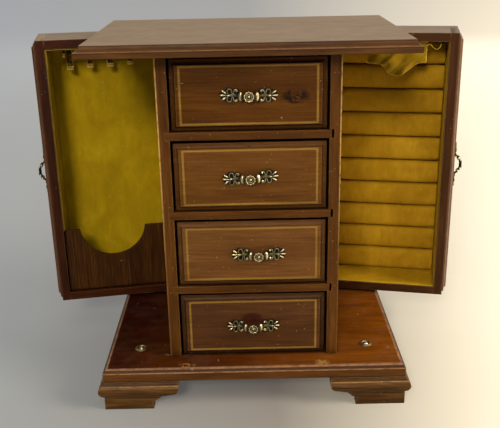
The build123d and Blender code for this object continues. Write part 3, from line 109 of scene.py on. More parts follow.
class Finish:
    """A procedural material, built node by node onto its principled shader."""

    def __init__(self, name, **settings):
        self.material = bpy.data.materials.new(name)
        self.material.use_nodes = True
        self.tree = self.material.node_tree
        self.set(**settings)

    def feed(self, socket, value):
        if isinstance(value, bpy.types.NodeSocket):
            self.tree.links.new(value, socket)
        elif socket.type == "RGBA" and len(value) == 3:
            socket.default_value = (*value, 1)
        else:
            socket.default_value = value

    def set(self, **settings):
        """Feed the shader's sockets, whose names are written with underscores."""
        sockets = self.tree.nodes["Principled BSDF"].inputs
        for name, value in settings.items():
            self.feed(sockets[name.replace("_", " ")], value)

    def add(self, kind, inputs=(), **settings):
        """The outputs of a new node."""
        node = self.tree.nodes.new("ShaderNode" + kind)
        for key, value in settings.items():
            setattr(node, key, value)
        for key, value in dict(inputs).items():
            self.feed(node.inputs[key], value)
        return node.outputs

    def grain(self):
        """Coordinates along, across and through a board, in metres."""
        return self.add("Attribute", attribute_name="grain")["Vector"]

    def value(self, name):
        """A number kept on the mesh under a name."""
        return self.add("Attribute", attribute_name=name)["Fac"]

    def place(self):
        return self.add("TexCoord")["Object"]

    def parts(self, vector):
        return self.add("SeparateXYZ", {"Vector": vector})

    def vector(self, operation, *inputs, output="Vector"):
        return self.add("VectorMath", dict(enumerate(inputs)), operation=operation)[output]

    def noise(self, at, scale, detail, roughness, distortion=0):
        """Noise at one scale, or at a scale for each direction."""
        if isinstance(scale, tuple):
            at, scale = self.vector("MULTIPLY", at, scale), 1
        inputs = {"Vector": at, "Scale": scale, "Detail": detail, "Roughness": roughness}
        return self.add("TexNoise", {**inputs, "Distortion": distortion})["Fac"]

    def specks(self, at, scale, reach, channel, chance):
        """1 about the middles of a few cells, picked by chance, fading to 0 over a reach."""
        cells = self.add("TexVoronoi", {"Vector": at, "Scale": scale})
        pick = self.add("SeparateColor", {"Color": cells["Color"]})[channel]
        near = self.remap(cells["Distance"], *reach)
        return self.times(near, self.calc("GREATER_THAN", pick, 1 - chance))

    def calc(self, operation, a, b=0, clamp=False):
        return self.add("Math", {0: a, 1: b}, operation=operation, use_clamp=clamp)[0]

    def plus(self, total, *others, clamp=False):
        for other in others:
            total = self.calc("ADD", total, other, clamp)
        return total

    def times(self, product, *factors):
        for factor in factors:
            product = self.calc("MULTIPLY", product, factor)
        return product

    def remap(self, value, low, high, to_low=0, to_high=1):
        inputs = {"Value": value, "From Min": low, "From Max": high, "To Min": to_low, "To Max": to_high}
        return self.add("MapRange", inputs)["Result"]

    def rise(self, value, low, high):
        """From 0 at one length in millimetres to 1 at another."""
        return self.remap(value, MM * low, MM * high)

    def ramp(self, value, *stops):
        colour = self.add("ValToRGB", {"Fac": value})["Color"]
        elements = colour.node.color_ramp.elements
        while len(elements) < len(stops):
            elements.new(0.5)
        for element, (position, stop) in zip(elements, stops):
            element.position = position
            element.color = (*stop, 1)
        return colour

    def mix(self, share, a, b, blend="MIX"):
        return self.add("Mix", {0: share, 6: a, 7: b}, data_type="RGBA", blend_type=blend)[2]

    def bump(self, height, depth, **below):
        """A bump of a depth in millimetres, over another bump's Normal if one is given."""
        return self.add("Bump", {"Height": height, "Distance": depth * MM, **below})["Normal"]

    def edges(self, radius):
        """1 on the convex and concave edges of a piece, 0 on its flats."""
        rounded = self.add("Bevel", {"Radius": radius * MM}, samples=6)["Normal"]
        match = self.vector("DOT_PRODUCT", rounded, self.add("NewGeometry")["Normal"], output="Value")
        return self.remap(match, 0.995, 0.8)

    def hollows(self, distance):
        """1 in the open, towards 0 in recesses."""
        return self.add("AmbientOcclusion", {"Distance": distance * MM}, samples=8)["AO"]

    def band(self, value, low, high):
        """1 between two lengths in millimetres, fading to 0 outside them."""
        return self.times(self.rise(value, low - BAND_FADE, low), self.rise(value, high + BAND_FADE, high))

    def spot(self, place, size):
        """1 inside an ellipsoid about a place in millimetres, fading to 0 at its edge."""
        offset = self.vector("SUBTRACT", self.place(), tuple(MM * value for value in place))
        scaled = self.vector("MULTIPLY", offset, tuple(1 / (MM * value) for value in size))
        return self.remap(self.vector("LENGTH", scaled, output="Value"), 1, 0.6)


def linear(colour):
    """A colour as seen on screen, 0 to 255, turned into shader values."""
    return tuple(((value / 255 + 0.055) / 1.055) ** 2.4 if value > 10 else value / 255 / 12.92
                 for value in colour)


# Dirt, dust and lint, and a film of dust that also stands for painted sheen, as seen on screen
FLECK = (206, 184, 150)
DUST_AND_SHEEN_FILM = (136, 116, 93)
DUST_SPECK = (196, 186, 170)
LINT = (205, 196, 160)


def wood(name, colours, sheen=0.42, wear=0.6, dust=0, figure=1, streaks=0.38, fineness=1, film=None,
         marks=(), lit_shaded_and_worn_lines=(), arris=None, rounding=0.9, recess_shade=(5, 0.6), flecks=0, side_lighting=None, gloss=0.12,
         **shader):
    """Stained and lacquered wood, with streaks along the grain, pores, worn edges, marks, painted light and
    shade, and dust.

    Its colours are dark, middle, pale and worn. Lengths are in millimetres. Edges are worn over a
    rounding. Painted shade darkens recesses: how deep it reaches, and its share. The lines between two
    heights are painted highlights and painted shade along a moulding, in part worn lacquer and dirt. A film
    of dust, which also stands for painted sheen, lies above a height. Painted light and shade can tint it
    from one side of the box to the other above a level. An arris is the half width and the front of a case
    whose outer front edge is worn and painted paler as a highlight.
    """
    coat = Finish(name, Specular_IOR_Level=gloss, **shader)
    dark, middle, pale, worn = map(linear, colours)
    grain = coat.grain()
    place = coat.place()
    at = coat.parts(place)
    broad = coat.noise(grain, (9, 55, 55), 3, 0.55, 0.6)
    fine = coat.noise(grain, (30, 620 * fineness, 620 * fineness), 4, 0.6, 0.3)
    hair = coat.noise(grain, (60, 2600, 2600), 2, 0.5)
    pores = coat.remap(coat.noise(grain, (190, 5200, 5200), 1, 0.5), 0.63, 0.72)
    tone = coat.plus(coat.times(broad, 0.62 * figure), coat.times(fine, streaks),
                     coat.times(coat.plus(hair, -0.5), 0.16), 0.5 - 0.31 * figure - 0.5 * streaks)
    colour = coat.ramp(tone, (0.30, dark), (0.5, middle), (0.70, pale))
    colour = coat.mix(coat.times(pores, 0.55), colour, dark)
    unevenness = coat.noise(place, 130, 5, 0.7)
    # Painted shade: the wood darkened in recesses, as far as the occlusion reaches
    shade_reach, shade_share = recess_shade
    open_air = coat.hollows(shade_reach)
    edge = coat.times(coat.edges(rounding), coat.remap(unevenness, 0.35, 0.62),
                      coat.remap(open_air, 0.55, 0.85, 0, wear))
    recess_shade_colour = tuple(0.2 * part for part in dark)
    colour = coat.mix(coat.remap(open_air, 0.85, 0.35, 0, shade_share), colour, recess_shade_colour)
    colour = coat.mix(edge, colour, worn)
    # Painted light and shade across the box: darker on one side, brighter on the other
    if side_lighting:
        colour = coat.mix(1, colour, painted_side_lighting(coat, place, *side_lighting), "MULTIPLY")
    # Lines along a moulding: painted highlights and painted shade, in part worn lacquer and dirt
    for low, high, share, line in lit_shaded_and_worn_lines:
        uneven_share = coat.remap(unevenness, 0.36, 0.56, 0.35 * share, share)
        line_share = coat.times(coat.band(at["Z"], low, high), uneven_share)
        colour = coat.mix(line_share, colour, linear(line))
    for middle_of_mark, size, share, mark, raggedness in marks:
        blotch = coat.remap(coat.noise(place, raggedness, 3, 0.6), 0.44, 0.5)
        mark_share = coat.times(blotch, share, coat.spot(middle_of_mark, size))
        colour = coat.mix(mark_share, colour, linear(mark))
    # A worn outer front edge, painted paler still as a highlight, growing towards the top
    if arris:
        half_width, front = arris
        outer = coat.rise(coat.calc("ABSOLUTE", at["X"]), half_width - 1.4, half_width - 0.8)
        foremost = coat.rise(at["Y"], front + 0.5, front + 0.1)
        upper = coat.remap(at["Z"], 0.13, 0.24, 0.1, 1)
        uneven_share = coat.remap(unevenness, 0.34, 0.5, 0.3, 0.8)
        colour = coat.mix(coat.times(outer, foremost, upper, uneven_share), colour, worn)
    if flecks:
        patches = coat.remap(coat.noise(place, 28, 3, 0.6), 0.45, 0.6, 0.1, 0.6)
        for scale, reach, chance, cover in ((130, (0.09, 0.05), flecks, 0.6),
                                            (430, (0.17, 0.13), 4 * flecks, patches)):
            fleck = coat.specks(place, scale, reach, "Blue", chance)
            colour = coat.mix(coat.times(fleck, cover), colour, linear(FLECK))
    # A film of dust above a height, its colour also a painted sheen of light glancing off the top
    if film:
        up = coat.rise(at["Z"], film - 0.35, film - 0.1)
        wiped = coat.remap(coat.noise(grain, (12, 90, 90), 3, 0.6, 0.5), 0.3, 0.7, 0.62, 0.8)
        colour = coat.mix(coat.times(up, wiped), colour, linear(DUST_AND_SHEEN_FILM))
    if dust:
        colour = dusted(coat, place, colour, dust)
    rough = coat.remap(coat.noise(place, 45, 4, 0.65), 0.3, 0.7, sheen - 0.05, sheen + 0.08)
    relief = coat.calc("SUBTRACT", coat.times(fine, 0.6), pores)
    coat.set(Base_Color=colour, Roughness=coat.plus(rough, coat.times(edge, 0.2)),
             Normal=coat.bump(relief, 0.03))
    return coat


def painted_side_lighting(coat, place, left, right, level):
    """Painted light and shade above a level: darker on one side of the box, brighter on the other, clouded a
    little.
    """
    at = coat.parts(place)
    cloud = coat.remap(coat.noise(place, 16, 3, 0.55), 0.3, 0.7, -0.03, 0.03)
    across = coat.remap(coat.plus(at["X"], cloud), -0.12, 0.13)
    lit_tint = coat.ramp(across, (0, left), (1, right))
    return coat.mix(coat.rise(at["Z"], level - 0.2, level), (1, 1, 1), lit_tint)


def dusted(coat, place, colour, chance):
    """Pale specks of dust and lint on what faces up."""
    speck = coat.specks(place, 210, (0.17, 0.1), "Red", chance)
    film = coat.remap(coat.noise(place, 60, 5, 0.7), 0.45, 0.8, 0, 0.03)
    normal = coat.add("NewGeometry")["Normal"]
    up = coat.remap(coat.parts(normal)["Z"], 0.6, 0.95)
    share = coat.times(up, coat.plus(coat.times(speck, 0.5), film))
    return coat.mix(share, colour, linear(DUST_SPECK))


def velvet(name, *colours):
    """Short-pile velvet, deep, middle and pale, with brushed patches, a soft sheen and a few bits of lint."""
    deep, middle, pale = map(linear, colours)
    coat = Finish(name, Roughness=0.85, Sheen_Weight=0.35, Sheen_Roughness=0.4, Sheen_Tint=pale,
                  Specular_IOR_Level=0.15)
    at = coat.place()
    patches = coat.noise(at, 26, 4, 0.55, 0.8)
    brushed = coat.noise(at, (170, 170, 60), 3, 0.6, 0.5)
    pile = coat.noise(at, 2600, 2, 0.6)
    tone = coat.plus(coat.times(patches, 0.5), coat.times(brushed, 0.26), coat.times(pile, 0.24))
    colour = coat.ramp(tone, (0.32, deep), (0.5, middle), (0.68, pale))
    bits = coat.specks(at, 330, (0.2, 0.12), "Green", 0.03)
    colour = coat.mix(coat.times(bits, 0.5), colour, linear(LINT))
    coat.set(Base_Color=colour, Normal=coat.bump(pile, 0.09, Normal=coat.bump(brushed, 0.25)))
    return coat


def metal(name, base, tarnish, patina, rough):
    """Brass or steel with tarnished patches and fine scratches."""
    coat = Finish(name, Metallic=1)
    at = coat.place()
    cloud = coat.remap(coat.noise(at, 240, 5, 0.65), 0.38, 0.68)
    scratch = coat.noise(at, (900, 260, 5200), 3, 0.6)
    roughness = coat.plus(coat.remap(cloud, 0, 1, rough - 0.06, rough + 0.16), coat.times(scratch, 0.08))
    coat.set(Base_Color=coat.mix(coat.times(cloud, patina), linear(base), linear(tarnish)),
             Roughness=roughness, Normal=coat.bump(scratch, 0.006))
    return coat


def glint_brass(name, tarnish, bright):
    """Brass strip, tarnished on its flats, with painted glints: bright colour painted where its lips and
    edges catch the light.
    """
    coat = Finish(name)
    cloud = coat.noise(coat.place(), 300, 4, 0.65)
    # The painted glint brightens the colour and makes it less metallic
    shine = coat.plus(coat.value("shine"), coat.remap(cloud, 0.3, 0.7, -0.15, 0.15), clamp=True)
    coat.set(Base_Color=coat.ramp(shine, (0.1, linear(tarnish)), (0.85, linear(bright))),
             Metallic=coat.remap(shine, 0.4, 0.9, 1, 0.15),
             Roughness=coat.remap(shine, 0.1, 0.9, 0.5, 0.2), Normal=coat.bump(cloud, 0.03))
    return coat


def antiqued(name, *colours):
    """Cast brass, blacked all over and rubbed back on its crests, in four colours from black to bright."""
    coat = Finish(name, Specular_IOR_Level=0.25)
    cloud = coat.noise(coat.place(), 420, 4, 0.65)
    open_air = coat.remap(coat.hollows(1.8), 0.25, 0.8, 0.45, 1)
    crest = coat.times(coat.value("crest"), open_air)
    crest = coat.plus(crest, coat.remap(cloud, 0.3, 0.7, -0.12, 0.12), clamp=True)
    coat.set(Base_Color=coat.ramp(crest, *zip((0.12, 0.36, 0.62, 0.9), map(linear, colours))),
             Metallic=coat.remap(crest, 0.2, 0.7, 0.1, 0.95),
             Roughness=coat.remap(crest, 0.2, 0.9, 0.75, 0.3), Normal=coat.bump(cloud, 0.05))
    return coat


# Wood. The marks are a stain on the first drawer, a dark ring of dirt behind the lowest pull, patches
# on the base where the lacquer has worn through, and a painted shadow on the pocket near the hinge. Each
# mark has a place, a size, a share, a colour and a raggedness.
drawer_woods = {}
# The drawers' tones differ, partly in the wood and partly as painted light and shade: the middle two lighter,
# the top and bottom ones darker
for number, colours, marks in (
    (1, ((46, 22, 1), (74, 41, 4), (96, 58, 13)), (
        ((39, -84.4, 287.2), (14, 5, 7.5), 0.9, (22, 8, 4), 230),
        ((39, -84.4, 286.2), (11, 5, 5.5), 0.7, (22, 8, 4), 410),
    )),
    (2, ((58, 31, 6), (86, 52, 15), (110, 72, 30)), (
        ((-0.7, -84.4, 244.4), (2.2, 4, 1.6), 0.9, (30, 14, 6), 20),
    )),
    (3, ((62, 36, 12), (94, 59, 25), (118, 80, 40)), ()),
    (4, ((44, 23, 9), (71, 42, 18), (92, 58, 29)), (
        ((-1, -84.4, 79.5), (12, 4, 6.5), 0.8, (44, 10, 5), 20),
    )),
):
    # Painted shade reaches far into the drawers' recesses, darkening the top drawer under the top's overhang
    drawer_woods[number] = wood(
        f"drawer_{number}_wood", (*colours, (150, 108, 66)), sheen=0.4, figure=0.6, marks=marks, rounding=1.2,
        recess_shade=(14, 0.85), flecks=0.035, gloss=0.1)
# The case's outer front edges are worn and painted paler as a highlight
case_wood = wood(
    "case_wood", ((40, 18, 2), (73, 41, 8), (98, 61, 20), (186, 148, 84)), wear=0.5, figure=0.8,
    rounding=1, recess_shade=(10, 0.7), flecks=0.035, arris=(78.5, -85.2), gloss=0.1)
# The tray tops carry the same film of dust and painted sheen
TRAY_TOP = 322.2
tray_woods = {
    hand: wood(f"{hand}_tray_wood", colours, film=TRAY_TOP, rounding=1, flecks=0.01)
    for hand, colours in (("left", ((26, 5, 0), (48, 17, 1), (72, 36, 9), (150, 112, 74))),
                          ("right", ((34, 13, 1), (60, 31, 5), (84, 50, 16), (160, 122, 86))))
}
# The left panel's edges are worn; the right panel's are worn and painted much paler, a painted highlight
# where the window's light catches them
panel_woods = {
    hand: wood(f"{hand}_panel_wood", ((62, 33, 13), (88, 54, 27), (112, 75, 44), worn), sheen=0.36, wear=wear,
               rounding=1.6, gloss=0.2, Coat_Weight=coat, Coat_Roughness=0.2)
    for hand, wear, worn, coat in (("left", 0.35, (116, 82, 50), 0.1), ("right", 1, (184, 144, 106), 0.5))
}
# The top's film of dust also stands for painted sheen
top_wood = wood(
    "top_wood", ((42, 20, 2), (74, 44, 12), (98, 62, 24), (138, 100, 58)), sheen=0.45, wear=0.7, dust=0.04,
    film=335.3, rounding=0.8, recess_shade=(6, 0.9), gloss=0.14,
    # Painted highlights and painted shade along the top's moulding, in part worn lacquer and dirt
    lit_shaded_and_worn_lines=((329, 329.7, 0.75, (36, 18, 3)), (330, 330.5, 0.6, (126, 92, 62)),
           (331.6, 333, 0.4, (40, 20, 4)), (334.1, 334.8, 0.7, (44, 24, 6))))
WORN_LACQUER = (148, 104, 52)
BASE_LEVEL = 41
# The base is painted darker on its left, where the cabinet shades it, and brighter on its right, where the
# window lights it
base_wood = wood(
    "base_wood", ((46, 22, 4), (78, 45, 14), (102, 64, 26), (176, 134, 92)), sheen=0.36, wear=0.9, dust=0.05,
    figure=0.7, rounding=1.2, recess_shade=(6, 0.85), side_lighting=((0.3, 0.09, 0.12), (1.75, 1.35, 0.4), BASE_LEVEL),
    # Painted highlights on the base's beads and painted shade in its coves, in part worn lacquer and dirt
    lit_shaded_and_worn_lines=((37, 37.7, 0.55, (168, 128, 86)), (38.1, 39.5, 0.7, (34, 14, 3)),
           (39.9, 40.5, 0.62, (158, 120, 92)), (40.6, 40.75, 0.8, (28, 10, 2))),
    marks=(((-62.4, -101.5, BASE_LEVEL), (9, 4, 3), 0.8, WORN_LACQUER, 300),
           ((63.2, -101, BASE_LEVEL), (8, 6, 3), 0.8, WORN_LACQUER, 300),
           ((-82, -81.5, BASE_LEVEL), (4, 2.5, 2), 0.7, (120, 104, 84), 400)))
foot_wood = wood(
    "foot_wood", ((46, 26, 8), (78, 50, 19), (106, 74, 36), (168, 130, 82)), wear=1, figure=0.9,
    streaks=0.75, rounding=1.3, recess_shade=(6, 0.85), flecks=0.02, gloss=0.1,
    # Painted highlights and painted shade along the feet's mouldings, in part worn lacquer and dirt; their
    # strong edge wear also stands for painted highlights
    lit_shaded_and_worn_lines=((13.2, 14, 0.7, (170, 130, 80)), (24.9, 25.5, 0.6, (150, 112, 66)),
           (26.2, 28.4, 0.6, (36, 18, 5)), (11.4, 12.8, 0.5, (36, 18, 5))))
plywood = wood("plywood", ((44, 22, 6), (74, 44, 18), (98, 62, 30), (120, 88, 54)), sheen=0.5, figure=0.7)
pocket_wood = wood(
    "pocket_wood", ((28, 8, 0), (58, 30, 3), (104, 70, 26), (124, 90, 50)), sheen=0.5, wear=0.5, figure=0.5,
    streaks=0.62, fineness=2.2, recess_shade=(10, 0.7), gloss=0.1,
    # The first mark is a painted shadow: the pocket darkened near the hinge, where the cabinet shades it
    marks=(((-100, 50, 58), (42, 90, 32), 0.7, (34, 7, 1), 3),
           ((-141.5, 54, 82.5), (5.5, 6, 1), 0.7, (138, 106, 60), 240)))
pale_wood = wood(
    "pale_wood", ((168, 128, 84), (198, 160, 112), (216, 184, 138), (226, 200, 160)), sheen=0.55, wear=0.3,
    figure=0.8, gloss=0.5)
maple = wood("maple", ((96, 68, 18), (126, 94, 34), (146, 112, 50), (100, 70, 28)), sheen=0.45, wear=0.25)

# Cloth
olive_velvet = velvet("olive_velvet", (142, 114, 0), (162, 132, 2), (184, 152, 12))
gold_velvet = velvet("gold_velvet", (136, 102, 2), (162, 124, 8), (186, 148, 22))
flap_velvet = velvet("flap_velvet", (116, 86, 4), (142, 110, 10), (168, 134, 24))
roll_velvet = velvet("roll_velvet", (142, 102, 5), (166, 124, 14), (188, 146, 28))
pale_velvet = velvet("pale_velvet", (160, 128, 20), (190, 156, 50), (214, 182, 90))
dull_velvet = velvet("dull_velvet", (84, 64, 14), (106, 84, 26), (132, 108, 44))

# Metal: its own colour, its tarnish, how far that covers it, and its roughness
antique_brass = antiqued("antique_brass", (8, 6, 3), (46, 41, 24), (118, 106, 72), (212, 194, 152))
bright_brass = metal("bright_brass", (226, 190, 112), (170, 128, 62), 0.45, 0.22)
machine_brass = metal("machine_brass", (214, 176, 100), (176, 136, 70), 0.25, 0.3)
cast_plate = metal("cast_plate", (168, 160, 146), (116, 110, 98), 0.6, 0.42)
comb_steel = metal("comb_steel", (176, 178, 182), (120, 122, 128), 0.25, 0.24)
ball_steel = metal("ball_steel", (196, 196, 198), (150, 150, 150), 0.3, 0.14)
hook_brass = glint_brass("hook_brass", (46, 32, 2), (255, 216, 112))
worn_brass = metal("worn_brass", (190, 164, 112), (96, 78, 40), 0.7, 0.3)
zinc_steel = metal("zinc_steel", (170, 172, 176), (120, 118, 110), 0.5, 0.34)


def dress(name, finish):
    """Give a CAD node its material, and leave its shape alone."""
    for slot in nodes[name].material_slots:
        slot.material = finish.material


def stand_for(node, name, mesh, finish):
    """A new piece with a mesh, which takes the place of a CAD node and rides on its body."""
    mesh.polygons.foreach_set("use_smooth", [True] * len(mesh.polygons))
    mesh.materials.append(finish.material)
    piece = add_object(name, mesh)
    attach(piece, nodes[node]["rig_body"])
    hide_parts(node)
    return piece


def make_piece(node, name, points, faces, finish, **values):
    """A new piece from points in metres, for a CAD node, with named numbers on its points."""
    mesh = bpy.data.meshes.new(name)
    mesh.from_pydata([tuple(point) for point in points], [], faces)
    mesh.validate()
    for key, numbers in values.items():
        layer = mesh.attributes.new(key, "FLOAT", "POINT")
        layer.data.foreach_set("value", numbers)
    return stand_for(node, name, mesh, finish)


def turns(count):
    """Angles spaced evenly round a full turn."""
    return [2 * pi * step / count for step in range(count)]


def grid(rows, columns, wrap=False, first=0):
    """Faces of a net of points, stored row by row; a wrapped one closes on itself sideways."""
    faces = []
    for row in range(rows - 1):
        start = first + row * columns
        for column in range(columns if wrap else columns - 1):
            beside = (column + 1) % columns
            faces.append((start + column, start + beside, start + columns + beside, start + columns + column))
    return faces


def tube(rows, columns, first=0):
    """A wrapped grid, closed by a cap at each end."""
    last = first + (rows - 1) * columns
    caps = [tuple(reversed(range(first, first + columns))), tuple(range(last, last + columns))]
    return grid(rows, columns, True, first) + caps


def smooth_path(corners, count):
    """Points of a smooth curve through corners."""
    path = []
    spans = len(corners) - 1
    for index in range(count):
        place = index / (count - 1) * spans
        span = min(int(place), spans - 1)
        t = place - span
        p0, p1 = Vector(corners[max(0, span - 1)]), Vector(corners[span])
        p2, p3 = Vector(corners[span + 1]), Vector(corners[min(spans, span + 2)])
        path.append(0.5 * (2 * p1 + (p2 - p0) * t + (2 * p0 - 5 * p1 + 4 * p2 - p3) * t * t
                           + (3 * p1 - p0 - 3 * p2 + p3) * t ** 3))
    return path


def modifier(piece, kind, **settings):
    added = piece.modifiers.new(kind.lower(), kind)
    for key, value in settings.items():
        setattr(added, key, value)


# Boards: a copy of each wooden node, its boards told apart, with eased edges and its own grain
def board_mesh(name, source, axes, mitred, way=None):
    """A clean copy of a node's mesh, with the grain's coordinates on each board's corners.

    Boards that touch along an edge are parted there, so that each is shaded and grained by itself.
    """
    work = bmesh.new()
    work.from_mesh(source)
    bmesh.ops.remove_doubles(work, verts=work.verts, dist=1e-6)
    bmesh.ops.dissolve_limit(work, angle_limit=radians(0.5), verts=work.verts, edges=work.edges)
    shared = [edge for edge in work.edges if len(edge.link_faces) > 2]
    bmesh.ops.split_edges(work, edges=shared)
    layer = work.loops.layers.float_vector.new("grain")
    seen = set()
    number = 0
    for start in work.verts:
        if start in seen:
            continue
        island = [start]
        seen.add(start)
        for vertex in island:
            for edge in vertex.link_edges:
                other = edge.other_vert(vertex)
                if other not in seen:
                    seen.add(other)
                    island.append(other)
        reaches = [[vertex.co.dot(axis) for vertex in island] for axis in axes]
        spans = [max(reach) - min(reach) for reach in reaches]
        long_way = spans.index(max(spans)) if way is None else way
        number += 1
        seed = Vector((0.37, 0.71, 0.13)) * (number + len(name))
        for face in {face for vertex in island for face in vertex.link_faces}:
            along, across, through = (axes[(long_way + step) % 3] for step in range(3))
            if mitred and abs(face.normal.dot(along)) > abs(face.normal.dot(across)):
                along, across = across, along
            for loop in face.loops:
                place = loop.vert.co
                loop[layer] = Vector((place.dot(along), place.dot(across), place.dot(through))) + seed
    mesh = bpy.data.meshes.new(name)
    work.to_mesh(mesh)
    work.free()
    return mesh


def boards(node, finish, axes=(X, Y, Z), ease=0.35, mitred=False, way=None):
    """The boards of a wooden node, standing for it."""
    name = node + "_wood"
    mesh = board_mesh(name, nodes[node].data, axes, mitred, way)
    mesh.materials.clear()
    piece = stand_for(node, name, mesh, finish)
    modifier(piece, "BEVEL", width=ease * MM, segments=2, limit_method="ANGLE",
             angle_limit=radians(32), harden_normals=True, use_clamp_overlap=True)
    modifier(piece, "WEIGHTED_NORMAL", keep_sharp=True)


def tray_axes(hand):
    """A tray's own directions: along its rim away from the hinge, and towards its outer panel."""
    side = SIDES[hand]
    lean = radians(90) - abs(radians(joints[f"{hand}_tray_hinge"]["range_deg"][0]))
    return Vector((side * cos(lean), -sin(lean), 0)), Vector((side * sin(lean), cos(lean), 0))


boards("base_board", base_wood, ease=0.5)
boards("top_board", top_wood, ease=0.5)
for corner in ("front_left", "front_right", "rear_left", "rear_right"):
    boards(f"foot_{corner}", foot_wood, mitred=True)
for hand in SIDES:
    boards(f"cabinet_side_{hand}", case_wood)
    along, deep = tray_axes(hand)
    axes = (along, Z, deep)
    boards(f"{hand}_tray_walls", tray_woods[hand], axes, ease=0.6)
    boards(f"{hand}_tray_outer_panel", tray_woods[hand], axes)
    boards(f"{hand}_tray_front_panel", panel_woods[hand], axes)
boards("drawer_dividers", case_wood, ease=0.5)
boards("cabinet_back", plywood)
boards("left_tray_pocket", pocket_wood, (Z, *tray_axes("left")), ease=0.2, way=0)
for number in range(1, 5):
    boards(f"drawer_{number}_front", drawer_woods[number])
    boards(f"drawer_{number}_inlay", maple, ease=0.08, mitred=True)
    boards(f"drawer_{number}_box", pale_wood)

# Metal that keeps its CAD shape
for hand in SIDES:
    dress(f"{hand}_tray_hinges_and_strike", bright_brass)
    dress(f"cabinet_hinge_leaves_{hand}", bright_brass)
dress("fixed_screws", zinc_steel)
dress("movement_bedplate", cast_plate)
dress("movement_comb", comb_steel)
dress("movement_winding_key", zinc_steel)
for part in ("spring_barrel", "cylinder", "governor_wheel", "governor_fly", "stop_lever"):
    dress(f"movement_{part}", machine_brass)


# Velvet linings: five thin sheets that line a box, open on one side, or four where the high wall is left out;
# the trays' linings have rolled hems
LINING = 0.9
RIPPLE = 0.22
SHEET_STEP = 4
HEM_SIDES = 8


def hem(name, path, radius, finish, node):
    """A thin rolled edge of cloth along a path of places in metres, a little uneven."""
    points = []
    for index, place in enumerate(path):
        run = (path[min(len(path) - 1, index + 1)] - path[max(0, index - 1)]).normalized()
        first = run.cross(Y if abs(run.y) < 0.8 else Z).normalized()
        second = run.cross(first)
        swell = radius * MM * (1 + 0.25 * noise.noise(place * 260))
        for angle in turns(HEM_SIDES):
            points.append(place + (first * cos(angle) + second * sin(angle)) * swell)
    return make_piece(node, name, points, tube(len(path), HEM_SIDES), finish)


def lining(name, node, finish, origin, axes, size, high_wall=True, bare=None):
    """Line a box from its inner low corner: size is across, up and out, in millimetres.

    Its high wall can be left out. In front of a bare depth and below a bare height it has no lining.
    """
    across, upward, outward = axes
    width, height, depth = size
    points, faces = [], []

    def sheet(start, run_u, run_v, inward, length_u, length_v):
        first = len(points)
        columns = max(2, round(length_u / SHEET_STEP) + 1)
        rows = max(2, round(length_v / SHEET_STEP) + 1)
        uncovered = set()
        for row in range(rows):
            for column in range(columns):
                u, v = column / (columns - 1), row / (rows - 1)
                place = start + run_u * length_u * u + run_v * length_v * v
                fade = min(1, 8 * min(u, 1 - u), 8 * min(v, 1 - v) + 0.3)
                wave = noise.noise(place * 0.055) + 0.5 * noise.noise(place * 0.16)
                place = place + inward * (LINING + RIPPLE * wave * fade)
                if bare and place.z > bare[0] and place.y < bare[1]:
                    uncovered.add(len(points))
                points.append(origin + (across * place.x + upward * place.y + outward * place.z) * MM)
        faces.extend(face for face in grid(rows, columns, first=first) if not uncovered.intersection(face))

    sheet(Vector(), X, Y, Z, width, height)
    sheet(Vector(), Y, Z, X, height, depth)
    sheet(Vector((width, 0, 0)), Z, Y, -X, depth, height)
    sheet(Vector(), Z, X, Y, depth, width)
    area = width * height + 2 * height * depth + width * depth
    if high_wall:
        sheet(Vector((0, height, 0)), X, Z, -Y, width, depth)
        area += width * depth
    if bare:
        area -= (width + 2 * bare[1]) * (depth - bare[0])
    piece = make_piece(node, name, points, faces, finish)
    piece.data.materials.append(dull_velvet.material)
    modifier(piece, "SOLIDIFY", thickness=(LINING - 0.05) * MM, offset=-1, material_offset_rim=1)


TRAY_WALL = 8.5
TRAY_REACH = 129
TRAY_INNER_DEPTH = 54
TRAY_FLOOR = 51.7
TRAY_CEILING = 313.7
RIM_INSET = 0.4


def in_tray(hand, reach, depth, height):
    """A place in a tray: along its rim from the hinge, back from the rim, and above the ground."""
    along, deep = tray_axes(hand)
    hinge = Vector(joints[f"{hand}_tray_hinge"]["pos_m"])
    hinge.z = 0
    return hinge + (along * reach + deep * depth + Z * height) * MM


tray_inside = (TRAY_REACH - 2 * TRAY_WALL, TRAY_CEILING - TRAY_FLOOR, TRAY_INNER_DEPTH - RIM_INSET)
POCKET_REAR = 46.6
POCKET_TOP = 70.5
HEM_RADIUS = 0.55
HEM_INSET = 0.7
HEM_DEPTH = 1.1
HEM_STEPS = 80
for hand, finish, bare in (("left", olive_velvet, (POCKET_REAR, POCKET_TOP)), ("right", gold_velvet, None)):
    along, deep = tray_axes(hand)
    node = f"{hand}_tray_lining"
    hem_foot = TRAY_FLOOR + (POCKET_TOP + 2 if bare else 1)
    hem_length = TRAY_CEILING - 1 - hem_foot
    for side, reach, hem_finish in (("hinge", TRAY_WALL + HEM_INSET, pale_velvet),
                                    ("outer", TRAY_REACH - TRAY_WALL - HEM_INSET, dull_velvet)):
        path = [in_tray(hand, reach, HEM_DEPTH, hem_foot + hem_length * step / HEM_STEPS)
                for step in range(HEM_STEPS + 1)]
        hem(f"{hand}_tray_hem_{side}", path, HEM_RADIUS, hem_finish, node)
    lining(f"{hand}_tray_velvet", node, finish, in_tray(hand, TRAY_WALL, TRAY_INNER_DEPTH, TRAY_FLOOR),
           (along, Z, -deep), tray_inside, hand == "left", bare)
for number in range(1, 5):
    node = f"drawer_{number}_lining"
    low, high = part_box(node)
    size = tuple((top - bottom) / MM for bottom, top in zip(low, high))
    lining(f"drawer_{number}_velvet", node, gold_velvet, Vector(low), (X, Y, Z), size)


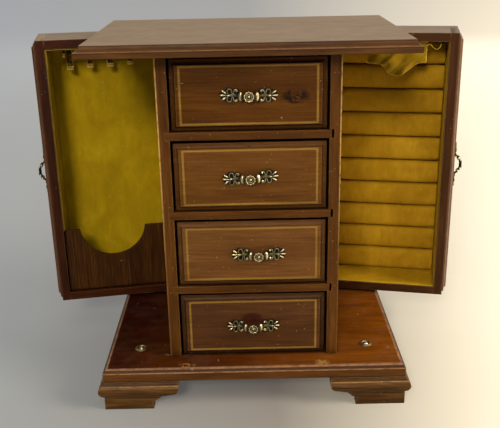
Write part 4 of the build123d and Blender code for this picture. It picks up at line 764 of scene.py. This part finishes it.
# Necklace hooks: bent brass strips whose lips and edges are painted bright as glints. Each has a distance
# from the tray's outer end, a drop, a depth behind the rim and a width.
HOOKS = ((30, 25.2, 38, 6.2), (50.5, 23.6, 38, 6.2), (71, 23.6, 38, 6.2), (91.5, 22.4, 38, 6),
         (25.2, 10.5, 27, 2.8))
HOOK_FOOT = 9
HOOK_CURL = 2.1
HOOK_LIP = 1.6
HOOK_THICKNESS = 0.9


def necklace_hook(number, from_end, drop, depth, width):
    """A strip carried along its bend, with a rounded section and a painted glint on its points."""
    ceiling = TRAY_CEILING - LINING - 0.5
    curl_height = ceiling - drop + HOOK_CURL
    path = [(depth + HOOK_FOOT, ceiling, 0), (depth + 1.2, ceiling, 0), (depth + 0.3, ceiling - 0.3, 0.1),
            (depth, ceiling - 1.2, 0.1)]
    for step in range(5):
        path.append((depth, ceiling - 1.5 - (drop - HOOK_CURL - 2.5) * step / 4, 0.1))
    for angle in turns(24)[1:13]:
        # Painted glint, brightest at the bottom of the curl
        shine = max(0, sin(angle)) ** 0.7
        path.append((depth - HOOK_CURL + HOOK_CURL * cos(angle), curl_height - HOOK_CURL * sin(angle),
                     0.25 + 0.75 * shine))
    path.append((depth - 2 * HOOK_CURL - 0.3, curl_height + HOOK_LIP, 0.5))
    half_section = [(-0.5, 0), (-0.49, 0.4), (-0.44, 0.5), (0.44, 0.5), (0.49, 0.4)]
    section = half_section + [(-across, -through) for across, through in half_section]
    points, shine = [], []
    for index, (deep_at, height, bright) in enumerate(path):
        before, after = path[max(0, index - 1)], path[min(len(path) - 1, index + 1)]
        run = Vector((after[0] - before[0], after[1] - before[1])).normalized() * HOOK_THICKNESS
        for across, through in section:
            reach = TRAY_REACH - from_end + across * width
            points.append(in_tray("left", reach, deep_at - run.y * through, height + run.x * through))
            shine.append(max(bright, 0.9 if abs(across) > 0.47 else 0))
    faces = tube(len(path), len(section))
    name = f"necklace_hook_{number + 1}"
    piece = make_piece("necklace_hooks", name, points, faces, hook_brass, shine=shine)
    modifier(piece, "EDGE_SPLIT", split_angle=radians(40))


for number, hook in enumerate(HOOKS):
    necklace_hook(number, *hook)


# Ring rolls: padded bars, drawn in at their ends
ROLL_COUNT = 10
ROLL_START = 10.6
ROLL_END = 118.4
ROLL_BACK = 53.1
ROLL_THICKNESS = 15.2
ROLL_FOOT = 52.9
ROLL_PITCH = 25.8
ROLL_HEIGHT = 24.7


def ring_roll(number):
    """One roll as a net: a rounded cross-section carried along the tray."""
    middle_height = ROLL_FOOT + number * ROLL_PITCH + ROLL_HEIGHT / 2
    middle_depth = ROLL_BACK - ROLL_THICKNESS / 2
    stations, around = 64, 40
    points = []
    for station in range(stations):
        t = 0.5 - 0.5 * cos(pi * station / (stations - 1))
        shrink = (1 - abs(2 * t - 1) ** 9) ** (1 / 5) if 0 < t < 1 else 0
        pinch = 0.55 + 0.45 * shrink
        for angle in turns(around):
            across, up = -cos(angle), sin(angle)
            spread = (abs(across) ** 2.8 + abs(up) ** 3.4) ** (-1 / 3)
            across, up = across * spread, up * spread
            front = max(0, -across)
            place = Vector((t * 9 + number * 7.3, across * 1.3, up * 1.3 + number * 3.1))
            dent = 0.55 * noise.noise(place * 0.9) + 0.25 * noise.noise(place * 2.7)
            pucker = 0.5 * sin(angle * 9 + number) * (1 - shrink) * front
            depth = middle_depth + ROLL_THICKNESS / 2 * across * pinch + (dent + pucker) * front
            height = middle_height + (ROLL_HEIGHT / 2 - 0.1) * up * (0.86 + 0.14 * shrink)
            reach = ROLL_START + (ROLL_END - ROLL_START) * t
            points.append(in_tray("right", reach, min(depth, ROLL_BACK), height))
    *faces, first_cap, last_cap = tube(stations, around)
    faces += [first_cap[::-1], last_cap[::-1]]
    piece = make_piece("ring_rolls", f"ring_roll_{number + 1}", points, faces, roll_velvet)
    modifier(piece, "SUBSURF", levels=1, render_levels=1)


for number in range(ROLL_COUNT):
    ring_roll(number)


# The right tray's loose ceiling lining, folded and torn. Its edge is given by places along the tray and
# how far it hangs there, its creases by a place, a width and a height.
FLAP_EDGE = ((38.5, 21), (41, 23), (48, 23.4), (55.5, 24), (58, 26.6), (60.5, 30.5), (63, 33), (66, 34.2),
             (70, 34.6), (73.5, 34), (77.5, 31.2), (81.5, 28.4), (86, 25.5), (90, 23), (94, 21.4),
             (98.5, 20.4))
FLAP_CREASES = ((84, 3.2, 2.2), (101, 2.6, -1.8), (112, 3, 2))
FLAP_DEPTH = 8.5
LOOSE_THREAD = ((98.5, 7, 308), (101, 6.4, 310.5), (104.5, 6, 307.5), (108, 6, 305.6), (111, 6.2, 307.2),
                (112.2, 7, 310.5))


def edge_drop(reach):
    """How far the torn edge hangs below the ceiling at a place along the tray."""
    for (a, low), (b, high) in zip(FLAP_EDGE, FLAP_EDGE[1:]):
        if reach <= b:
            return low + (high - low) * max(0, (reach - a) / (b - a))
    return FLAP_EDGE[-1][1]


def loose_lining():
    node = "right_tray_loose_lining"
    columns, rows = 110, 54
    start, end = FLAP_EDGE[0][0], FLAP_EDGE[-1][0]
    points = []
    for row in range(rows):
        t = row / (rows - 1)
        for column in range(columns):
            s = column / (columns - 1)
            reach = start + (end - start) * s
            drop = edge_drop(reach) + 0.35 * noise.noise(Vector((reach * 0.9, 3.1, 0)))
            below = 0.4 + (drop - 0.4) * t
            fold = 2.6 * sin((reach - 1.05 * below) * 0.165 + 0.9) + 1.2 * sin((reach + 0.4 * below) * 0.36)
            fold *= 0.25 + 0.75 * t
            curl = 3.5 * max(0, t - 0.82) / 0.18 * (0.4 + 0.6 * sin(s * pi))
            crease = 0.5 * noise.noise(Vector((reach * 0.11, below * 0.16, 7.7)))
            for turn, (offset, width, height) in enumerate(FLAP_CREASES):
                off = (reach + 1.15 * below - offset + turn) / width
                crease -= height * exp(-off ** 2) * min(1, below / 8)
            depth = FLAP_DEPTH - fold + crease - curl * 0.5
            points.append(in_tray("right", reach, depth, TRAY_CEILING - below))
    low_edge = points[-columns:]
    side_edge = points[columns - 1::columns]
    thread = smooth_path([in_tray("right", *place) for place in LOOSE_THREAD], 40)
    edges = (("loose_lining_hem", low_edge, 0.5), ("loose_lining_selvedge", side_edge, 0.5),
             ("loose_thread", thread, 0.45))
    hems = [hem(name, path, radius, pale_velvet, node) for name, path, radius in edges]
    piece = make_piece(node, "loose_lining", points, grid(rows, columns), flap_velvet)
    modifier(piece, "SOLIDIFY", thickness=LINING * MM, offset=0)
    modifier(piece, "SUBSURF", levels=1, render_levels=1)


loose_lining()


# Pulls: one casting, modelled once in its own millimetres and set in six places
BAR_SIDES = 12


class Casting:
    """Points, faces and crest values of a cast shape, gathered bar by bar."""

    def __init__(self):
        self.points, self.faces, self.crest = [], [], []

    def bar(self, corners, count, widths, heights, peak=0.5, level=1):
        """A round bar through corners of (x, z, y forward).

        Its widths and heights are those at its start, at a peak part of the way along, and at its end.
        """
        first = len(self.points)
        path = smooth_path(corners, count)
        sizes = zip(taper(count, *widths, peak), taper(count, *heights, peak))
        for index, (width, height) in enumerate(sizes):
            run = (path[min(count - 1, index + 1)] - path[max(0, index - 1)]).normalized()
            side = run.cross(Z)
            side = side.normalized() if side.length > 1e-6 else X
            out = side.cross(run).normalized()
            for angle in turns(BAR_SIDES):
                self.points.append(path[index] + side * width * cos(angle) + out * height * sin(angle))
                self.crest.append(level * min(1, max(0, 0.2 + 0.9 * sin(angle))))
        self.faces.extend(tube(count, BAR_SIDES, first))

    def turned(self, middle, axis, profile, sides, points=0, squeeze=1):
        """A turned shape about an axis: distance along it, radius, crest, and how far it is pointed."""
        first = len(self.points)
        axis = Vector(axis)
        third = axis.cross(Y)
        for place, radius, crest, *point in profile:
            for angle in turns(sides):
                reach = radius + sum(point) * (1 - 2 * abs(sin(angle * points / 2)))
                offset = Y * cos(angle) + third * sin(angle) * squeeze
                self.points.append(Vector(middle) + axis * place + offset * reach)
                self.crest.append(crest)
        self.faces.extend(grid(len(profile), sides, True, first))

    def plate(self, outline, thickness):
        """A flat backing of an even thickness, without a crest."""
        first = len(self.points)
        self.points.extend(Vector((x, z, level)) for level in (0, thickness) for x, z in outline)
        self.crest.extend([0] * 2 * len(outline))
        self.faces.extend(tube(2, len(outline), first))


def taper(count, start, middle, end, peak):
    """Sizes along a bar, from a start through a peak to an end."""
    shares = [index / (count - 1) for index in range(count)]
    return [start + (middle - start) * sin(t / peak * pi / 2) if t < peak
            else middle + (end - middle) * (1 - cos((t - peak) / (1 - peak) * pi / 2)) for t in shares]


# Half of a pull: its backing, its arch as (x, forward), its loop and leaf, and its collar
BACKING_MARGIN = 0.6
FAN = ((23.4, 0.4), (22.4, 3.6), (20, 3), (19.2, 4.4), (17.2, 5.6), (15, 5), (13.2, 4), (11.4, 5.2),
       (9.4, 4.4), (8, 2.6), (8, -2.6), (9.4, -4.4), (11.4, -5.2), (13.2, -4), (15, -5),
       (17.2, -5.6), (19.2, -4.4), (20, -3), (22.3, -3.5), (23.4, -0.2))
ARCH = ((10.8, 0.8), (9.4, 2.8), (6.8, 5), (3.4, 6.4), (0, 6.7))
LOOP = ((17.3, 0.9, 1.1), (18.2, 2.6, 1.3), (17.9, 4.5, 1.5), (16.4, 5.5, 1.6), (15, 4.8, 1.5),
        (14.5, 3, 1.4), (13.9, 1.5, 1.3), (12.6, 0.6, 1.2))
LEAF = ((13, 1, 1.1), (12.9, 2.8, 1.3), (12.2, 4.3, 1.5), (10.9, 4.9, 1.6), (9.8, 4.2, 1.6),
        (9.9, 3.2, 1.5))
LEAF_END = ((-0.8, 0.9, 0.7), (-0.2, 1.1, 0.95), (0.4, 0.9, 1), (0.75, 0.1, 1))
COLLAR_SLOPE = radians(31)
COLLAR = ((-2.1, 1.9, 0.1), (-2.05, 2.75, 0.4), (-1.6, 2.95, 0.5), (-1.35, 2.8, 0.2), (-1.15, 3.3, 0.6),
          (-0.6, 3.85, 0.95), (0.1, 4, 1), (0.8, 3.8, 0.95), (1.25, 3.25, 0.5), (1.4, 2.7, 0.15),
          (1.85, 2.6, 0.2), (1.9, 1.9, 0))
# A stem, a pointed rim, two rings and a dot
ROSETTE = ((-2.6, 1.4, 0.1), (-1.4, 2, 0.1), (-0.7, 3.6, 0.3, 0.1), (-0.25, 4.2, 0.8, 0.38),
           (0.15, 4.2, 1, 0.42), (0.3, 3.75, 1, 0.2), (0.1, 3.3, 0.6), (-0.25, 3.05, 0), (-0.25, 2.75, 0),
           (0.05, 2.55, 0.6), (0.15, 2.25, 0.75), (0, 1.95, 0.5), (-0.3, 1.75, 0), (-0.3, 1.3, 0),
           (0.05, 1.05, 0.8), (0.3, 0.75, 0.8), (0.4, 0.1, 0.8))


def pull_casting():
    cast = Casting()
    for side in (-1, 1):
        def at(x, z, y):
            return (side * x, z, y)

        # Three rays, fat towards their tips
        for root, tip, size in (((19, 1.4), (22.8, 4.1), 0.85), ((19.3, 0), (24.3, 0.2), 0.88),
                                ((19, -1.4), (22.7, -3.9), 0.9)):
            middle = at((root[0] + tip[0]) / 2, (root[1] + tip[1]) / 2, 1.5)
            cast.bar([at(*root, 1), middle, at(*tip, 1.2)], 14, (0.24, size, 0.4), (0.4, size, 0.4), 0.7)
        for up in (-1, 1):
            # An arched loop over a dark eye, and the curled tip of the next leaf
            loop = [at(x, up * z, y) for x, z, y in LOOP]
            cast.bar(loop, 30, (0.4, 0.6, 0.55), (0.5, 0.75, 0.55), 0.45, 0.62)
            leaf = [at(x, up * z, y) for x, z, y in LEAF]
            cast.bar(leaf, 22, (0.42, 0.66, 0.6), (0.5, 0.8, 0.75), 0.7, 0.7)
            cast.turned(at(10.3, up * 3.7, 1.7), Z, LEAF_END, 14)
        # Spine, and the small lozenge where the rays spring
        cast.bar([at(18.9, 0, 0.9), at(15.5, 0, 1.3), at(12.6, 0, 1.3), at(9.8, -0.1, 1.2)], 20,
                  (0.5, 1.5, 1.9), (0.5, 0.9, 0.9), 0.6, 0.5)
        cast.bar([at(19, 0, 1.5), at(17.6, 0, 2.1), at(15.9, 0, 1.6)], 9,
                  (0.1, 0.85, 0.1), (0.1, 0.5, 0.1), level=0.9)
        # Blackened backing behind the rays and the loops
        outline = [(side * (x + BACKING_MARGIN * (x > 12)), z * (1 + BACKING_MARGIN / 6)) for x, z in FAN]
        cast.plate(outline[::side], 0.5)
        slope = at(cos(COLLAR_SLOPE), 0, -sin(COLLAR_SLOPE))
        cast.turned(at(6.8, -0.3, 5), slope, COLLAR, 40, squeeze=0.48)
    # The arch that stands out from the plate and carries the collars and the rosette
    arch = [(-x, -0.2, y) for x, y in ARCH] + [(x, -0.2, y) for x, y in ARCH[-2::-1]]
    cast.bar(arch, 44, (1.4, 1.4, 1.4), (0.9, 0.9, 0.9), level=0.4)
    cast.turned((0, -0.1, 8.4), Z, ROSETTE, 80, points=10)
    return cast


PULL = pull_casting()


def set_pull(name, node, origin, right, up, out, tilt=0):
    """Place a copy of the casting by the directions that its length, height and front point in."""
    tilt = radians(tilt)
    turned_right = right * cos(tilt) + up * sin(tilt)
    turned_up = up * cos(tilt) - right * sin(tilt)
    points = [origin + (turned_right * p.x + turned_up * p.y + out * p.z) * MM for p in PULL.points]
    piece = make_piece(node, name, points, PULL.faces, antique_brass, crest=PULL.crest)
    work = bmesh.new()
    work.from_mesh(piece.data)
    bmesh.ops.recalc_face_normals(work, faces=work.faces)
    work.to_mesh(piece.data)
    work.free()
    modifier(piece, "EDGE_SPLIT", split_angle=radians(50))


def middle_of(low, high):
    return (Vector(low) + Vector(high)) / 2


# The place of the drawers' front faces in y, and of a tray's pull in its tray
DRAWER_FIELD = -84.373
TRAY_PULL_PLACE = (TRAY_REACH + 4, 29, 182.7)
PULL_TURNS = (-1, 3, 0, 0)
for number, tilt in enumerate(PULL_TURNS, 1):
    node = f"drawer_{number}_pull"
    middle = middle_of(*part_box(node))
    middle.y = DRAWER_FIELD * MM
    set_pull(f"pull_{number}", node, middle, X, Z, -Y, tilt)
for hand, side in SIDES.items():
    along, deep = tray_axes(hand)
    set_pull(f"{hand}_pull", f"{hand}_tray_pull", in_tray(hand, *TRAY_PULL_PLACE), Z, -deep * side, along)


# Ball catches: a turned cup with a domed flange, and its ball
CATCH_SIDES = 48


def turned_piece(name, node, middle, profile, finish):
    """A closed turned shape about an upright axis, from (radius, height) pairs in millimetres."""
    points = [middle + Vector((radius * cos(angle), radius * sin(angle), height)) * MM
              for radius, height in profile for angle in turns(CATCH_SIDES)]
    piece = make_piece(node, name, points, tube(len(profile), CATCH_SIDES), finish)
    modifier(piece, "EDGE_SPLIT", split_angle=radians(55))


CUP_PROFILE = ((4.9, -5.9), (4.9, 0), (6.3, 0.02), (6.4, 0.25), (6.1, 0.5), (5.6, 0.55), (5.3, 0.95),
               (4.7, 1.2), (4, 1.25), (3.4, 1.05), (3.05, 0.6), (3, -2.5))
BALL_STEPS = 20
for hand in SIDES:
    low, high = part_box(f"catch_ball_{hand}")
    middle = middle_of(low, high)
    centre = middle.z / MM - BASE_LEVEL
    middle.z = BASE_LEVEL * MM
    turned_piece(f"catch_cup_{hand}", "ball_catch_cups", middle, CUP_PROFILE, worn_brass)
    radius = (high[0] - low[0]) / 2 / MM
    angles = [pi * step / BALL_STEPS for step in range(BALL_STEPS + 1)]
    ball = [(max(0.02, radius * sin(angle)), centre - radius * cos(angle)) for angle in angles]
    turned_piece(f"catch_steel_{hand}", f"catch_ball_{hand}", middle, ball, ball_steel)


# Floor, lamps and sky
FLOOR_REACH = 7


def make_floor():
    """A pale floor, painted paler on its right. What the camera and the gloss see of it glows with painted
    light, brighter on its right and darker in front of the box; it keeps the shadow.
    """
    mesh = bpy.data.meshes.new("floor")
    corners = [(x * FLOOR_REACH, y * FLOOR_REACH, 0) for x, y in ((-1, -1), (1, -1), (1, 1), (-1, 1))]
    mesh.from_pydata(corners, [], [(0, 1, 2, 3)])
    floor = add_object("floor", mesh)
    coat = Finish("floor_paint", Roughness=0.7, Specular_IOR_Level=0.2)
    at = coat.parts(coat.place())
    reach = coat.calc("MAXIMUM", coat.plus(at["Y"], 0.95), 0.6)
    across = coat.remap(coat.calc("DIVIDE", coat.plus(at["X"], -0.02), reach), -0.34, 0.34)
    paint, glow_near, glow_far = (coat.ramp(across, *zip((0, 0.5, 1), colours))
                                  for colours in (map(linear, FLOOR_PAINT), GLOW_NEAR, GLOW_FAR))
    speck = coat.remap(coat.noise(coat.place(), 14, 3, 0.6), 0.3, 0.7, 0.985, 1)
    specks = coat.add("CombineColor", {0: speck, 1: speck, 2: speck})["Color"]
    glow = coat.mix(coat.remap(at["Y"], -0.1, 2.2), glow_near, glow_far)
    rays = coat.add("LightPath")
    seen = coat.plus(rays["Is Camera Ray"], rays["Is Glossy Ray"], rays["Is Transmission Ray"], clamp=True)
    paint = coat.mix(1, paint, specks, "MULTIPLY")
    coat.set(Base_Color=paint, Emission_Color=glow, Emission_Strength=seen)
    mesh.materials.append(coat.material)


def make_lamp(name, place, target, size, power, colour, glints=True):
    data = bpy.data.lights.new(name, "AREA")
    data.shape = "RECTANGLE"
    data.size, data.size_y = size
    data.energy = power
    data.color = colour
    lamp = add_object(name, data)
    lamp.location = place
    lamp.rotation_euler = (Vector(target) - Vector(place)).to_track_quat("-Z", "Y").to_euler()
    lamp.visible_glossy = glints


def make_sky():
    """A soft sky, brighter towards the window side and behind the box."""
    world = bpy.data.worlds.new("sky")
    world.use_nodes = True
    scene.world = world
    tree = world.node_tree
    background = tree.nodes["Background"]
    place = tree.nodes.new("ShaderNodeTexCoord").outputs["Generated"]
    turn = tree.nodes.new("ShaderNodeVectorMath")
    turn.operation = "DOT_PRODUCT"
    turn.inputs[1].default_value = SKY_BRIGHT_WAY
    tree.links.new(place, turn.inputs[0])
    ramp = tree.nodes.new("ShaderNodeMapRange")
    ramp.inputs["From Min"].default_value = -1
    ramp.inputs["To Min"].default_value, ramp.inputs["To Max"].default_value = SKY_STRENGTH
    tree.links.new(turn.outputs["Value"], ramp.inputs["Value"])
    tree.links.new(ramp.outputs["Result"], background.inputs["Strength"])
    background.inputs["Color"].default_value = (*SKY_COLOUR, 1)


# What the floor is painted, and what it glows for the camera, from left to right: painted light, brighter on
# the window side, with painted shade in front of the box
FLOOR_PAINT = ((126, 128, 130), (126, 122, 116), (214, 206, 190))
GLOW_NEAR = ((0.12, 0.13, 0.13), (0.06, 0.05, 0.045), (0.42, 0.37, 0.26))
GLOW_FAR = ((0.25, 0.27, 0.29), (0.27, 0.27, 0.27), (0.66, 0.57, 0.42))
SKY_BRIGHT_WAY = (0.75, 0.5, 0.15)
SKY_STRENGTH = (0.12, 0.62)
SKY_COLOUR = (1, 0.96, 0.9)
make_floor()
make_lamp("window", (2.3, -0.85, 1.5), (0, 0, 0.15), (1.1, 1.1), 78, (1, 0.92, 0.76))
make_lamp("room", (-0.38, -1.95, 1.28), (0, 0, 0.2), (0.44, 0.4), 29, (1, 0.94, 0.84))
make_lamp("ceiling", (-0.3, -1.5, 2.3), (0, 0, 0.2), (2, 1.6), 18, (1, 0.95, 0.88))
make_lamp("rear", (0.4, 2.2, 1.1), (0, 0, 0.15), (1.6, 1), 16, (1, 0.95, 0.88), glints=False)
make_sky()

scene.view_settings.view_transform = "Standard"

bpy.context.view_layer.update()
